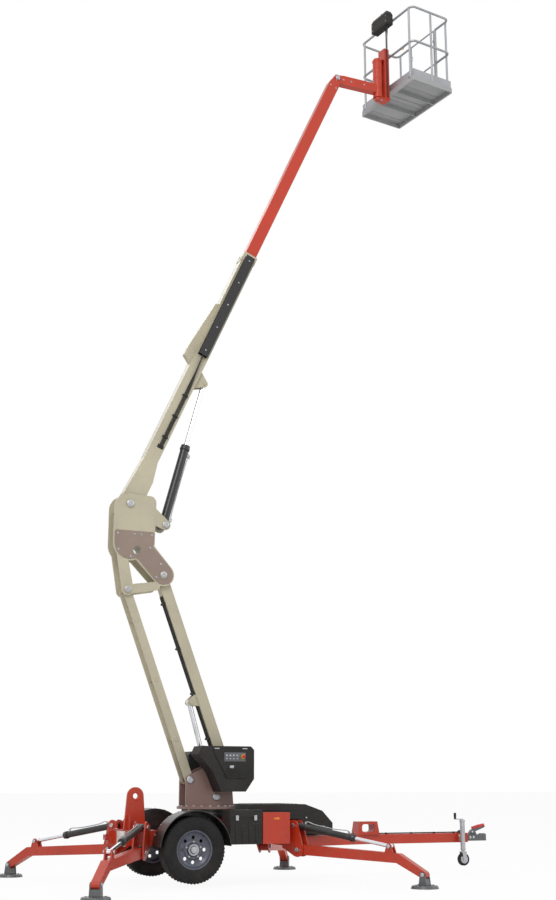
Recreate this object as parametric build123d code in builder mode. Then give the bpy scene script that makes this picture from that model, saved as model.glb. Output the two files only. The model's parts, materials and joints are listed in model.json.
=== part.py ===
import os
from math import atan2, cos, degrees, hypot, radians, sin

from build123d import *

# Towable boom lift. Millimetres, +Z up, +X towards the drawbar, ground at z = 0.
# The swing axis stands behind the middle of the footprint.
swing_x = -895

# Running gear
wheel_behind_swing = 420
wheel_height = 390
track_width = 1370
tyre_radius = 355
tyre_width = 215
tyre_shoulder = 45
rim_radius = 200
rim_width = 170
rim_wall = 8
rim_offset = 25
hub_radius = 62
hub_inward = 75
hub_outward = 35
rim_disc = 12
rim_hole_ring = 128
rim_hole_radius = 19
rim_hole_count = 8
spindle_past_disc = 5
spindle_radius = 22
axle_section = 70
axle_end_gap = 40
fender_clearance = 45
fender_sheet = 8
fender_width = 270
fender_stay_places = (-200, 200)
fender_stay_length = 40
fender_stay_height = 60
fender_stay_lift = 55

# Fits
fit_gap = 0.3
pin_play = 0.3
side_play = 5
eye_beyond_rod = 1

# Chassis
rail_spacing = 660
rail_width = 80
rail_depth = 140
frame_rear = -1060
frame_front = 1000
cross_behind = 960
pedestal_radius = 250
pedestal_plate = 20
pedestal_length = 640
pedestal_wall = 25
bearing_bottom = 715
bearing_height = 85
bearing_radius = 280
bracket_foot = (-255, 520)
bracket_pivot_round = 80
bracket_base_round = 60
bracket_foot_round = 95
bracket_block_start = -75
bracket_block_length = 245
rear_post_x = -850
rear_post_length = 250
rear_post_sheet = 30
rear_rib_sheet = 12
rear_rib_width = 200
rear_rib_height = 170
rear_post_base = 15
rear_post_round = 95
rear_post_eye_height = 945
rear_post_eye_radius = 30

# Drawbar
drawbar_end = 3450
drawbar_width = 100
drawbar_plate = 20
brace_foot = 180
drawbar_depth = 110
drawbar_bottom = 380
brace_meets = 2000
brace_width = 60
rest_x = 2050
rest_length = 300
rest_width = 160
rest_height = 150
rest_slope = 79
rest_window_length = 170
rest_rim = 30
coupler_ball_radius = 26
coupler_cup_depth = 45
coupler_reach = 240
coupler_wall = 24
coupler_neck = 120
coupler_foot = 15
coupler_depth = 75
latch_half_width = 18

# Jack
jack_x = 3330
jack_side = 125
jack_pivot_height = 435
jack_tube_radius = 30
jack_boss_radius = 45
jack_boss_gap = 10
jack_disc_radius = 40
jack_disc_sheet = 30
jack_crank = 110
jack_crank_sheet = 12
jack_crank_width = 20
jack_grip_radius = 11
jack_grip_height = 80
jack_cap = 20
fork_sheet = 8
fork_width = 60
fork_eye = 22
jack_axle_radius = 8
jack_leg_radius = 22
jack_top = 650
jack_wheel_radius = 75
jack_wheel_width = 50
jack_wheel_height = 185

# Outriggers: the mounts on the chassis and the feet on the ground
mount_x = 950
mount_y = 500
foot_x = 1800
foot_y = 1800
leg_pivot_height = 360
leg_knee_back = 300
leg_knee_height = 300
leg_depth = 100
leg_width = 90
ankle_height = 140
pad_radius = 150
pad_sheet = 30
bracket_sheet = 15
leg_pin_radius = 22
ankle_radius = 38
foot_neck = 90
foot_ear_sheet = 12
foot_ear_radius = 30
foot_block = 16
leg_cylinder_base = (-50, 620)
leg_lug_back = 403
leg_lug_height = 420
ear_sheet = 16
leg_barrel_length = 770
leg_barrel_radius = 36
leg_rod_radius = 20
pin_beyond_bracket = 12

# Boxes, wings and covers on the chassis
side_box_start = 40
side_box_end = 440
side_box_reach = 250
side_box_lift = 5
side_box_height = 365
wing_length = 330
wing_reach = 230
wing_sheet = 10
wing_height = 335
wing_gap = 10
lamp_depth = 36
lamp_height = 60
lamp_lift = 40
cover_sheet = 8
cover_rear = 352
cover_top = 850
cover_flat_end = 1080
cover_slope_end = (1300, 775)
cover_nose_height = 640
cover_seat = 4
cover_front = 1430
cover_lip = 520
cover_notch_start = 690
cover_notch_top = 685
battery_tray = 8
battery_x = 550
battery_length = 320
battery_height = 270
battery_width = 400
battery_tray_rim = 20

# Turntable
deck_sheet = 30
deck_radius = 335
upright_inner = 95
plate_sheet = 20
upright_half_length = 290
box_depth = 250
box_bottom = 990
box_front = 440
control_top = 1490
control_edge = 40
control_rear = -240
unit_top = 1440
unit_rear = -180
unit_edge = 40

# Tower: parallel arms between the turntable and the knuckle
arm_length = 2270
arm_angle = 110.7
link_pivot = (-240, 1120)
arm_pivot = (190, 1310)
arm_depth = 125
arm_width = 120
arm_wall = 8
link_depth = 100
link_bar = 18
link_inner = 68
link_tube_radius = 25
link_tubes_along = (480, 1190, arm_length - 370)
pin_radius = 25
boss_radius = 35
tower_cylinder_base = (80, 930)
tower_base_pin = 22
tower_lug_along = 780
tower_lug_offset = 150
tower_barrel_length = 580
tower_barrel_radius = 48
tower_rod_radius = 28

# Knuckle
boom_pivot_from_link = (2.4, 1006.6)
boom_cylinder_from_link = (442.4, 786.6)
knuckle_tube_from_link = (105, 460)
knuckle_tube_radius = 70
knuckle_tube_bore = 50
boom_pin_radius = 30
washer_reach = 18
washer_sheet = 12

# Boom
boom_angle = 65.8
boom_depth = 175
boom_width = 170
boom_wall = 8
boom_tail = 140
cheek_length = 620
cheek_depth = 140
boom_length = 3730
fly_depth = 150
fly_width = 130
fly_wall = 6
fly_overlap = 620
fly_pivot_along = 6862
fly_end_gap = 110
wear_pad_length = 120
boom_lug_along = 1840
boom_lug_below = 190
fairing_start = 1990
fairing_end = 2900
fairing_height = 200
fairing_half = 40
tray_start = 2130
tray_end = 3670
tray_depth = 120
tray_width = 60
boom_barrel_length = 1050
boom_barrel_radius = 52
boom_rod_radius = 28
tip_sheet = 10
tray_sheet = 6

# Platform
mast_from_fly = 664
support_depth = 130
support_taper = 100
support_end_radius = 48
sleeve_radius = 65
sleeve_below_tip = 128
sleeve_above_tip = 452
mast_offset = 75
mast_depth = 80
mast_width = 140
mast_above_tip = 652
platform_yaw = 8
platform_depth = 690
platform_width = 1220
deck_below_tip = 8
floor_tray_depth = 70
rail_tube_radius = 16
rail_height = 1100
toe_height = 110
toe_sheet = 6
floor_rim = 25
hinge_above_deck = (250, 900)
hinge_height = 30
hinge_collar = 8
gate_above_deck = 20
gate_width = 560
console_bottom = 1000
console_body = 160
console_taper = 50
console_depth = 110
console_width = 360
console_top = 1250
stick_radius = 9
floor_sheet = 6
rail_bend = 70
hinge_radius = 12

os.makedirs("parts", exist_ok=True)


def finish(builder, label):
    builder.part.label = label
    export_step(builder.part, f"parts/{label}.step")


def side_plane(x=0, z=0, y=0):
    # Upright plane along the machine: local x forward, local y up, normal to -Y
    return Plane(origin=(swing_x + x, y, z), x_dir=(1, 0, 0), z_dir=(0, -1, 0))


def tilted_plane(x, z, angle, y=0):
    # The same plane turned so that its local x points up at the angle
    direction = (cos(radians(angle)), 0, sin(radians(angle)))
    return Plane(origin=(swing_x + x, y, z), x_dir=direction, z_dir=(0, -1, 0))


def along(start, angle, length, left=0):
    # A point in the side view, some way along a line and to its left
    turn = radians(angle)
    return (
        start[0] + length * cos(turn) - left * sin(turn),
        start[1] + length * sin(turn) + left * cos(turn),
    )


def level_plane(z, x=0, y=0):
    return Plane(origin=(swing_x + x, y, z), x_dir=(1, 0, 0), z_dir=(0, 0, 1))


# Chassis frame: rails, cross members, pedestal, outrigger brackets and the rear post
rail_bottom = wheel_height + axle_section / 2
rail_top = rail_bottom + rail_depth
rail_y = rail_spacing / 2
rail_outer = rail_y + rail_width / 2
rail_middle = (frame_front + frame_rear) / 2
leg_angle = degrees(atan2(foot_y - mount_y, foot_x - mount_x))
leg_reach = hypot(foot_x - mount_x, foot_y - mount_y)
corners = [
    # name, side along x, side along y
    ("front_left", 1, 1),
    ("front_right", 1, -1),
    ("rear_left", -1, 1),
    ("rear_right", -1, -1),
]


def leg_plane(along_x, along_y, offset=0):
    # Upright plane through a mount and its foot: local x outward, local y up
    out = (along_x * cos(radians(leg_angle)), along_y * sin(radians(leg_angle)), 0)
    normal = (out[1], -out[0], 0)
    corner = (swing_x + along_x * mount_x, along_y * mount_y, 0)
    plane = Plane(origin=corner, x_dir=out, z_dir=normal)
    return plane.offset(offset)


with BuildPart() as chassis_frame:
    for side in (-1, 1):
        with BuildSketch(level_plane(rail_bottom, rail_middle, side * rail_y)):
            Rectangle(frame_front - frame_rear, rail_width)
        extrude(amount=rail_depth)
    for cross_x in (-cross_behind, cross_behind, 0):
        with BuildSketch(level_plane(rail_bottom, cross_x)):
            Rectangle(rail_width, rail_spacing)
        extrude(amount=rail_depth)
    with BuildSketch(level_plane(rail_top)):
        RectangleRounded(pedestal_length, rail_spacing + rail_width, 30)
    extrude(amount=pedestal_plate)
    with BuildSketch(level_plane(rail_top)):
        Circle(pedestal_radius)
    extrude(amount=bearing_bottom - rail_top)
    with BuildSketch(level_plane(rail_bottom)):
        Circle(pedestal_radius - pedestal_wall)
    extrude(amount=bearing_bottom - rail_bottom - pedestal_plate, mode=Mode.SUBTRACT)
finish(chassis_frame, "chassis_frame")

# Outrigger mounts: two plates, a block and two pins at each corner, welded to the rails
bracket_inner = leg_width / 2 + side_play
bracket_outer = bracket_inner + bracket_sheet
bracket_block_x = bracket_block_start - bracket_block_length / 2
with BuildPart() as outrigger_mounts:
    for _, along_x, along_y in corners:
        for offset in (bracket_inner, -bracket_outer):
            with BuildSketch(leg_plane(along_x, along_y, offset)):
                with Locations((0, leg_pivot_height)):
                    Circle(bracket_pivot_round)
                with Locations(leg_cylinder_base):
                    Circle(bracket_base_round)
                with Locations(bracket_foot):
                    Circle(bracket_foot_round)
                make_hull()
            extrude(amount=bracket_sheet)
        with BuildSketch(leg_plane(along_x, along_y)):
            with Locations((bracket_block_x, rail_bottom + rail_depth / 2)):
                Rectangle(bracket_block_length, rail_depth)
        extrude(amount=bracket_outer, both=True)
        for pin_at in ((0, leg_pivot_height), leg_cylinder_base):
            with BuildSketch(leg_plane(along_x, along_y)):
                with Locations(pin_at):
                    Circle(leg_pin_radius)
            extrude(amount=bracket_outer + pin_beyond_bracket, both=True)
    with BuildSketch(level_plane(0)):
        Rectangle(2 * foot_x, 2 * rail_outer)
    extrude(amount=rail_top + leg_cylinder_base[1], mode=Mode.SUBTRACT)
finish(outrigger_mounts, "outrigger_mounts")

# Rear post on its plate across the rails, for the stowed boom and for tying down
rear_post_plate = rear_post_length + 15
rear_rib_x = rear_post_x - rear_post_length / 2 + 45
with BuildPart() as rear_post:
    with BuildSketch(level_plane(rail_top, rear_post_x)):
        RectangleRounded(rear_post_plate, 2 * rail_outer, 20)
    extrude(amount=rear_post_base)
    with BuildSketch(side_plane(rear_post_x)):
        with Locations((0, rear_post_eye_height)):
            Circle(rear_post_round)
        with Locations((0, rail_top + rear_post_base)):
            Rectangle(rear_post_length, 2 * rear_post_base)
        make_hull()
        with Locations((0, rear_post_eye_height)):
            Circle(rear_post_eye_radius, mode=Mode.SUBTRACT)
    extrude(amount=rear_post_sheet / 2, both=True)
    with BuildSketch(level_plane(rail_top, rear_rib_x)):
        Rectangle(rear_rib_sheet, rear_rib_width)
    extrude(amount=rear_rib_height)
finish(rear_post, "rear_post")

# Drawbar with its plate, braces and the saddle that the folded tower lies over
drawbar_root = frame_front + drawbar_plate
drawbar_top = drawbar_bottom + drawbar_depth
jack_boss_reach = jack_side - jack_tube_radius - drawbar_width / 2 - jack_boss_gap
with BuildPart() as drawbar:
    with BuildSketch(level_plane(drawbar_bottom, frame_front + drawbar_plate / 2)):
        Rectangle(drawbar_plate, rail_spacing + rail_width)
    extrude(amount=rail_top - drawbar_bottom)
    with BuildSketch(level_plane(drawbar_bottom, (drawbar_root + drawbar_end) / 2)):
        Rectangle(drawbar_end - drawbar_root, drawbar_width)
    extrude(amount=drawbar_depth)
    for side in (-1, 1):
        brace_outer = side * rail_y
        brace_inner = side * (rail_y - brace_width)
        bar_edge = side * drawbar_width / 2
        with BuildSketch(level_plane(drawbar_bottom)):
            with BuildLine():
                Polyline(
                    (drawbar_root, brace_outer),
                    (brace_meets, bar_edge),
                    (brace_meets - brace_foot, bar_edge),
                    (drawbar_root, brace_inner),
                    close=True,
                )
            make_face()
        extrude(amount=drawbar_depth)
    with BuildSketch(side_plane(rest_x, drawbar_top)):
        Trapezoid(rest_length, rest_height, rest_slope, align=(Align.CENTER, Align.MIN))
    extrude(amount=rest_width / 2, both=True)
    with BuildSketch(side_plane(rest_x, drawbar_top + rest_height / 2)):
        RectangleRounded(rest_window_length, rest_height - 2 * rest_rim, rest_rim)
    extrude(amount=rest_width, both=True, mode=Mode.SUBTRACT)
    with BuildSketch(side_plane(jack_x, jack_pivot_height, -drawbar_width / 2)):
        Circle(jack_boss_radius)
    extrude(amount=jack_boss_reach)
finish(drawbar, "drawbar")

# Ball coupler on the end of the drawbar, with its latch lever
cup_x = drawbar_end + coupler_reach
cup_bottom = drawbar_bottom + coupler_foot
cup_top = cup_bottom + coupler_depth
with BuildPart() as coupler:
    with BuildSketch(level_plane(cup_bottom, drawbar_end)):
        with Locations((coupler_neck / 2, 0)):
            Rectangle(coupler_neck, drawbar_width)
        with Locations((coupler_reach, 0)):
            Circle(coupler_ball_radius + coupler_wall)
        make_hull()
    extrude(amount=cup_top - cup_bottom)
    with BuildSketch(level_plane(cup_bottom, cup_x)):
        Circle(coupler_ball_radius)
    extrude(amount=coupler_cup_depth, mode=Mode.SUBTRACT)
    with BuildSketch(side_plane(drawbar_end)):
        with BuildLine():
            Polyline(
                (30, cup_top),
                (75, cup_top + 55),
                (coupler_reach + 30, cup_top + 105),
                (coupler_reach + 35, cup_top + 85),
                (135, cup_top + 35),
                (150, cup_top),
                close=True,
            )
        make_face()
    extrude(amount=latch_half_width, both=True)
finish(coupler, "coupler")

# Swivel jack on the near side of the drawbar: tube, leg and wheel
jack_bridge = jack_wheel_height + jack_wheel_radius + 8
jack_tube_bottom = jack_bridge + 22
jack_leg_length = jack_top - jack_bridge - 80
with BuildPart() as jack_tube:
    with BuildSketch(level_plane(jack_tube_bottom, jack_x, -jack_side)):
        Circle(jack_tube_radius)
    extrude(amount=jack_top - jack_tube_bottom)
    jack_face = -jack_side + jack_tube_radius + jack_boss_gap - fit_gap
    with BuildSketch(side_plane(jack_x, jack_pivot_height, jack_face)):
        Circle(jack_disc_radius)
    extrude(amount=jack_disc_sheet)
    with BuildSketch(level_plane(jack_bridge, jack_x, -jack_side)):
        Circle(jack_leg_radius + fit_gap)
    extrude(amount=jack_top - jack_bridge - jack_cap, mode=Mode.SUBTRACT)
    with BuildSketch(level_plane(jack_top, jack_x, -jack_side)):
        with Locations((-jack_crank / 2, 0)):
            Rectangle(jack_crank, jack_crank_width)
        Circle(jack_crank_width / 2 + 2)
    extrude(amount=jack_crank_sheet)
    with BuildSketch(level_plane(jack_top, jack_x - jack_crank + jack_crank_width / 2, -jack_side)):
        Circle(jack_grip_radius)
    extrude(amount=jack_grip_height)
finish(jack_tube, "jack_tube")

fork_inner = jack_wheel_width / 2 + side_play
with BuildPart() as jack_leg:
    with BuildSketch(level_plane(jack_bridge + fork_sheet, jack_x, -jack_side)):
        Circle(jack_leg_radius)
    extrude(amount=jack_leg_length)
    with BuildSketch(level_plane(jack_bridge, jack_x, -jack_side)):
        Rectangle(fork_width, 2 * (fork_inner + fork_sheet))
    extrude(amount=fork_sheet)
    for side in (-1, 1):
        fork_y = -jack_side + side * (fork_inner + fork_sheet / 2)
        with BuildSketch(side_plane(jack_x, 0, fork_y)):
            with Locations((0, jack_wheel_height)):
                Circle(fork_eye)
            with Locations((0, jack_bridge + fork_sheet / 2)):
                Rectangle(fork_width, fork_sheet)
            make_hull()
        extrude(amount=fork_sheet / 2, both=True)
    with BuildSketch(side_plane(jack_x, jack_wheel_height, -jack_side)):
        Circle(jack_axle_radius)
    extrude(amount=fork_inner, both=True)
finish(jack_leg, "jack_leg")

with BuildPart() as jack_wheel:
    with BuildSketch(side_plane(jack_x, jack_wheel_height, -jack_side)):
        Circle(jack_wheel_radius)
        Circle(jack_axle_radius + pin_play, mode=Mode.SUBTRACT)
    extrude(amount=jack_wheel_width / 2, both=True)
    fillet(jack_wheel.edges().group_by(SortBy.LENGTH)[-1], radius=12)
finish(jack_wheel, "jack_wheel")

# Axle beam with its spindles
axle_half = track_width / 2 - tyre_width / 2 - axle_end_gap
with BuildPart() as axle:
    with BuildSketch(level_plane(wheel_height - axle_section / 2, -wheel_behind_swing)):
        Rectangle(axle_section, 2 * axle_half)
    extrude(amount=axle_section)
    with BuildSketch(side_plane(-wheel_behind_swing, wheel_height)):
        Circle(spindle_radius)
    extrude(amount=track_width / 2 + rim_offset, both=True)
finish(axle, "axle")

# Wheels
for name, side in (("left", 1), ("right", -1)):
    wheel_plane = Plane(
        origin=(swing_x - wheel_behind_swing, side * track_width / 2, wheel_height),
        x_dir=(1, 0, 0),
        z_dir=(0, side, 0),
    )
    with BuildPart() as rim:
        with BuildSketch(wheel_plane):
            Circle(rim_radius)
            Circle(rim_radius - rim_wall, mode=Mode.SUBTRACT)
        extrude(amount=rim_width / 2, both=True)
        with BuildSketch(wheel_plane.offset(rim_offset)):
            Circle(rim_radius - rim_wall)
            with PolarLocations(rim_hole_ring, rim_hole_count):
                Circle(rim_hole_radius, mode=Mode.SUBTRACT)
        extrude(amount=rim_disc)
        with BuildSketch(wheel_plane.offset(-hub_inward)):
            Circle(hub_radius)
        extrude(amount=hub_inward + rim_offset + hub_outward)
        with BuildSketch(wheel_plane.offset(-hub_inward)):
            Circle(spindle_radius + pin_play)
        extrude(amount=hub_inward + rim_offset + spindle_past_disc, mode=Mode.SUBTRACT)
    finish(rim, f"rim_{name}")
    with BuildPart() as tyre:
        with BuildSketch(wheel_plane):
            Circle(tyre_radius)
        extrude(amount=tyre_width / 2, both=True)
        fillet(tyre.edges().filter_by(GeomType.CIRCLE), radius=tyre_shoulder)
        with BuildSketch(wheel_plane):
            Circle(rim_radius + fit_gap)
        extrude(amount=tyre_width, both=True, mode=Mode.SUBTRACT)
    finish(tyre, f"tyre_{name}")

# Fenders over the wheels, held off the rails by two stays each
arch_radius = tyre_radius + fender_clearance
fender_inner = track_width / 2 - fender_width / 2
with BuildPart() as fenders:
    for side in (-1, 1):
        fender_plane = Plane(
            origin=(swing_x - wheel_behind_swing, side * fender_inner, wheel_height),
            x_dir=(1, 0, 0),
            z_dir=(0, side, 0),
        )
        with BuildSketch(fender_plane):
            Circle(arch_radius + fender_sheet)
            Circle(arch_radius, mode=Mode.SUBTRACT)
        extrude(amount=fender_width)
        with BuildSketch(fender_plane):
            Circle(arch_radius + fender_sheet)
        extrude(amount=fender_sheet)
        with BuildSketch(level_plane(rail_bottom, -wheel_behind_swing, side * track_width / 2)):
            Rectangle(3 * arch_radius, 2 * fender_width)
        extrude(amount=-2 * arch_radius, mode=Mode.SUBTRACT)
        for stay in fender_stay_places:
            with BuildSketch(
                level_plane(
                    rail_bottom + fender_stay_lift,
                    stay - wheel_behind_swing,
                    side * (rail_outer + fender_inner) / 2,
                )
            ):
                Rectangle(fender_stay_length, fender_inner - rail_outer)
            extrude(amount=fender_stay_height)
finish(fenders, "fenders")

# Boxes and wings beside the rails, lamps behind them
with BuildPart() as side_boxes:
    for side in (-1, 1):
        with BuildSketch(
            level_plane(
                rail_bottom + side_box_lift,
                (side_box_start + side_box_end) / 2,
                side * (rail_outer + side_box_reach / 2),
            )
        ):
            RectangleRounded(side_box_end - side_box_start, side_box_reach, 20)
        extrude(amount=side_box_height)
finish(side_boxes, "side_boxes")

wing_bottom = rail_bottom + side_box_lift
with BuildPart() as side_wings:
    for side in (-1, 1):
        wing_x = side_box_end + wing_gap + wing_length / 2
        with BuildSketch(
            level_plane(wing_bottom, wing_x, side * (rail_outer + wing_reach / 2))
        ):
            Rectangle(wing_length, wing_reach)
        extrude(amount=wing_height)
        with BuildSketch(
            level_plane(
                wing_bottom,
                wing_x,
                side * (rail_outer + wing_reach / 2 - wing_sheet),
            )
        ):
            Rectangle(wing_length - 2 * wing_sheet, wing_reach)
        extrude(amount=wing_height - wing_sheet, mode=Mode.SUBTRACT)
finish(side_wings, "side_wings")

with BuildPart() as tail_lamps:
    for side in (-1, 1):
        lamp_plane = level_plane(rail_bottom + lamp_lift, frame_rear - lamp_depth / 2, side * rail_y)
        with BuildSketch(lamp_plane):
            RectangleRounded(lamp_depth, rail_width + 10, 8)
        extrude(amount=lamp_height)
finish(tail_lamps, "tail_lamps")

# Batteries in the front bay and the cover over them
cover_half = rail_outer - 5
with BuildPart() as batteries:
    with BuildSketch(level_plane(rail_bottom, battery_x)):
        Rectangle(battery_length, rail_spacing - rail_width)
    extrude(amount=battery_tray)
    with BuildSketch(level_plane(rail_bottom + battery_tray, battery_x)):
        Rectangle(battery_length - 2 * battery_tray_rim, battery_width)
    extrude(amount=battery_height)
finish(batteries, "batteries")

with BuildPart() as front_cover:
    with BuildSketch(side_plane()):
        with BuildLine():
            Polyline(
                (cover_rear, rail_top),
                (cover_rear, cover_top),
                (cover_flat_end, cover_top),
                cover_slope_end,
                (cover_front, cover_nose_height),
                (cover_front, cover_lip),
                (drawbar_root + cover_seat, cover_lip),
                (drawbar_root + cover_seat, rail_top),
                close=True,
            )
        make_face()
    extrude(amount=cover_half, both=True)
    rear_edge = front_cover.edges().filter_by(Axis.Y).group_by(Axis.X)[0].sort_by(Axis.Z)[-1]
    chamfer(rear_edge, length=60)
    with BuildSketch(side_plane()):
        with BuildLine():
            Polyline(
                (cover_rear + cover_sheet, cover_lip - 1),
                (cover_rear + cover_sheet, cover_top - 66),
                (cover_rear + 66, cover_top - cover_sheet),
                (cover_flat_end - 2, cover_top - cover_sheet),
                (cover_slope_end[0] - 5, cover_slope_end[1] - cover_sheet),
                (cover_front - cover_sheet, cover_nose_height - 4),
                (cover_front - cover_sheet, cover_lip - 1),
                close=True,
            )
        make_face()
    extrude(amount=cover_half - cover_sheet, both=True, mode=Mode.SUBTRACT)
    notch_length = drawbar_root + cover_seat - cover_notch_start
    with BuildSketch(level_plane(rail_top, cover_notch_start + notch_length / 2)):
        Rectangle(notch_length, 3 * cover_half)
    extrude(amount=cover_notch_top - rail_top, mode=Mode.SUBTRACT)
finish(front_cover, "front_cover")

# Outriggers: beam, foot, cylinder barrel and rod at each corner
knee = (leg_reach - leg_knee_back, leg_knee_height)
ankle = (leg_reach, ankle_height)
leg_lug = (leg_reach - leg_lug_back, leg_lug_height)


def turned(plane, start, end):
    # From an upright plane, the plane at start whose local x points to end
    angle = atan2(end[1] - start[1], end[0] - start[0])
    direction = plane.x_dir * cos(angle) + plane.y_dir * sin(angle)
    return Plane(origin=plane.from_local_coords((*start, 0)), x_dir=direction, z_dir=plane.z_dir)


def cylinder_barrel(side, length, radius, bore, eye, eye_half, pin):
    axial = Plane(origin=side.origin, x_dir=side.z_dir, z_dir=side.x_dir)
    with BuildPart() as barrel:
        with BuildSketch(side):
            Circle(eye)
        extrude(amount=eye_half, both=True)
        with BuildSketch(axial.offset(eye * 0.7)):
            Circle(radius)
        extrude(amount=length - eye * 0.7)
        with BuildSketch(axial.offset(length - 45)):
            Circle(radius + 5)
        extrude(amount=45)
        with BuildSketch(side):
            Circle(pin + pin_play)
        extrude(amount=eye_half + radius, both=True, mode=Mode.SUBTRACT)
        with BuildSketch(axial.offset(pin + 14)):
            Circle(bore + fit_gap)
        extrude(amount=length, mode=Mode.SUBTRACT)
    return barrel


def cylinder_rod(side, start, length, radius, eye):
    axial = Plane(origin=side.origin, x_dir=side.z_dir, z_dir=side.x_dir)
    with BuildPart() as rod:
        with BuildSketch(axial.offset(start)):
            Circle(radius)
        extrude(amount=length - start)
        with BuildSketch(Plane(side.origin + side.x_dir * length, side.x_dir, side.z_dir)):
            Circle(eye)
        extrude(amount=radius + eye_beyond_rod, both=True)
    return rod


def lug_ears(plane, at, root, root_length, eye, rod_radius):
    # Two ears beside a rod's eye, with the ends of its pin in them
    inner = rod_radius + eye_beyond_rod + side_play
    sheet = ear_sheet
    for side in (-1, 1):
        start = inner if side > 0 else -inner - sheet
        with BuildSketch(plane.offset(start)) as ear:
            with Locations(at):
                Circle(eye)
            with Locations(root):
                Rectangle(root_length, 10)
            make_hull()
        extrude(ear.sketch, amount=sheet)
        stub_start = inner if side > 0 else -inner - sheet - 10
        with BuildSketch(plane.offset(stub_start)) as stub:
            with Locations(at):
                Circle(18)
        extrude(stub.sketch, amount=sheet + 10)


for name, along_x, along_y in corners:
    plane = leg_plane(along_x, along_y)
    with BuildPart() as leg:
        with BuildSketch(plane):
            with Locations((0, leg_pivot_height)):
                Circle(leg_depth / 2 + 5)
            with Locations(knee):
                Circle(leg_depth / 2)
            make_hull()
        extrude(amount=leg_width / 2, both=True)
        with BuildSketch(plane):
            with Locations(knee):
                Circle(leg_depth / 2)
            with Locations(ankle):
                Circle(ankle_radius)
            make_hull()
        extrude(amount=leg_width / 2, both=True)
        with BuildSketch(plane):
            with Locations((0, leg_pivot_height)):
                Circle(leg_pin_radius + pin_play)
        extrude(amount=leg_width, both=True, mode=Mode.SUBTRACT)
        lug_ears(plane, leg_lug, (leg_lug[0], leg_knee_height + 40), 110, 30, leg_rod_radius)
    finish(leg, f"outrigger_{name}")
    foot_at = (swing_x + along_x * foot_x, along_y * foot_y)
    with BuildPart() as foot:
        with BuildSketch(Plane.XY):
            with Locations(foot_at):
                Circle(pad_radius)
        extrude(amount=pad_sheet, taper=20)
        with BuildSketch(plane):
            with Locations((leg_reach, pad_sheet + 5)):
                Rectangle(foot_neck, 10)
            with Locations((leg_reach, ankle_height - ankle_radius - fit_gap - 5)):
                Rectangle(foot_neck - 30, 10)
            make_hull()
        extrude(amount=leg_width / 2, both=True)
        for side in (-1, 1):
            ear_start = leg_width / 2 + fit_gap
            with BuildSketch(plane.offset(side * (ear_start + foot_ear_sheet / 2))):
                with Locations(ankle):
                    Circle(foot_ear_radius)
                with Locations((leg_reach, pad_sheet + 5)):
                    Rectangle(foot_neck, 10)
                make_hull()
            extrude(amount=foot_ear_sheet / 2, both=True)
        with BuildSketch(plane):
            with Locations((leg_reach, pad_sheet + foot_block / 2)):
                Rectangle(foot_neck, foot_block)
        extrude(amount=leg_width / 2 + foot_ear_sheet, both=True)
    finish(foot, f"outrigger_foot_{name}")
    leg_cylinder = turned(plane, leg_cylinder_base, leg_lug)
    leg_cylinder_length = hypot(leg_lug[0] - leg_cylinder_base[0], leg_lug[1] - leg_cylinder_base[1])
    barrel = cylinder_barrel(
        leg_cylinder, leg_barrel_length, leg_barrel_radius, leg_rod_radius, 36, 36, leg_pin_radius
    )
    finish(barrel, f"outrigger_barrel_{name}")
    rod = cylinder_rod(
        leg_cylinder, leg_barrel_length - 120, leg_cylinder_length, leg_rod_radius, 28
    )
    finish(rod, f"outrigger_rod_{name}")

# Swing bearing and turntable with its uprights
bearing_top = bearing_bottom + bearing_height
deck_bottom = bearing_top + fit_gap
deck_top = bearing_top + deck_sheet
with BuildPart() as swing_bearing:
    with BuildSketch(level_plane(bearing_bottom)):
        Circle(bearing_radius)
    extrude(amount=bearing_height * 0.45)
    with BuildSketch(level_plane(bearing_bottom)):
        Circle(bearing_radius - 18)
    extrude(amount=bearing_height)
    with BuildSketch(level_plane(bearing_bottom + bearing_height * 0.55)):
        Circle(bearing_radius)
    extrude(amount=bearing_height * 0.45)
finish(swing_bearing, "swing_bearing")

upright_outer = upright_inner + plate_sheet
with BuildPart() as turntable:
    with BuildSketch(level_plane(deck_bottom)):
        Circle(deck_radius)
    extrude(amount=deck_top - deck_bottom)
    for side in (-1, 1):
        with BuildSketch(side_plane(0, 0, side * (upright_inner + plate_sheet / 2))):
            with Locations(link_pivot):
                Circle(50)
            with Locations(arm_pivot):
                Circle(60)
            with Locations((0, deck_top + 10)):
                Rectangle(2 * upright_half_length, 20)
            make_hull()
        extrude(amount=plate_sheet / 2, both=True)
    with BuildSketch(level_plane(deck_top, upright_half_length - 15)):
        Rectangle(16, 2 * upright_inner)
    extrude(amount=250)
    for at, radius in ((arm_pivot, pin_radius), (tower_cylinder_base, tower_base_pin)):
        with BuildSketch(side_plane()):
            with Locations(at):
                Circle(radius)
        extrude(amount=upright_outer, both=True)
    for side in (-1, 1):
        stub_middle = side * (link_inner + upright_outer) / 2
        with BuildSketch(side_plane(0, 0, stub_middle)):
            with Locations(link_pivot):
                Circle(pin_radius)
        extrude(amount=(upright_outer - link_inner) / 2, both=True)
finish(turntable, "turntable")

with BuildPart() as swing_drive:
    with BuildSketch(level_plane(deck_top, 205)):
        Circle(50)
    extrude(amount=60)
    with BuildSketch(level_plane(deck_top, 205)):
        Circle(38)
    extrude(amount=130)
finish(swing_drive, "swing_drive")

with BuildPart() as control_box:
    with BuildSketch(side_plane(0, 0, -upright_outer)):
        with BuildLine():
            Polyline(
                (control_rear, control_top - 90),
                (control_rear + control_edge, control_top),
                (box_front - control_edge, control_top),
                (box_front, control_top - control_edge),
                (box_front, box_bottom + 140),
                (box_front - 100, box_bottom),
                (40, box_bottom),
                (-60, box_bottom + 220),
                close=True,
            )
        make_face()
    extrude(amount=box_depth)
finish(control_box, "control_box")

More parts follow.
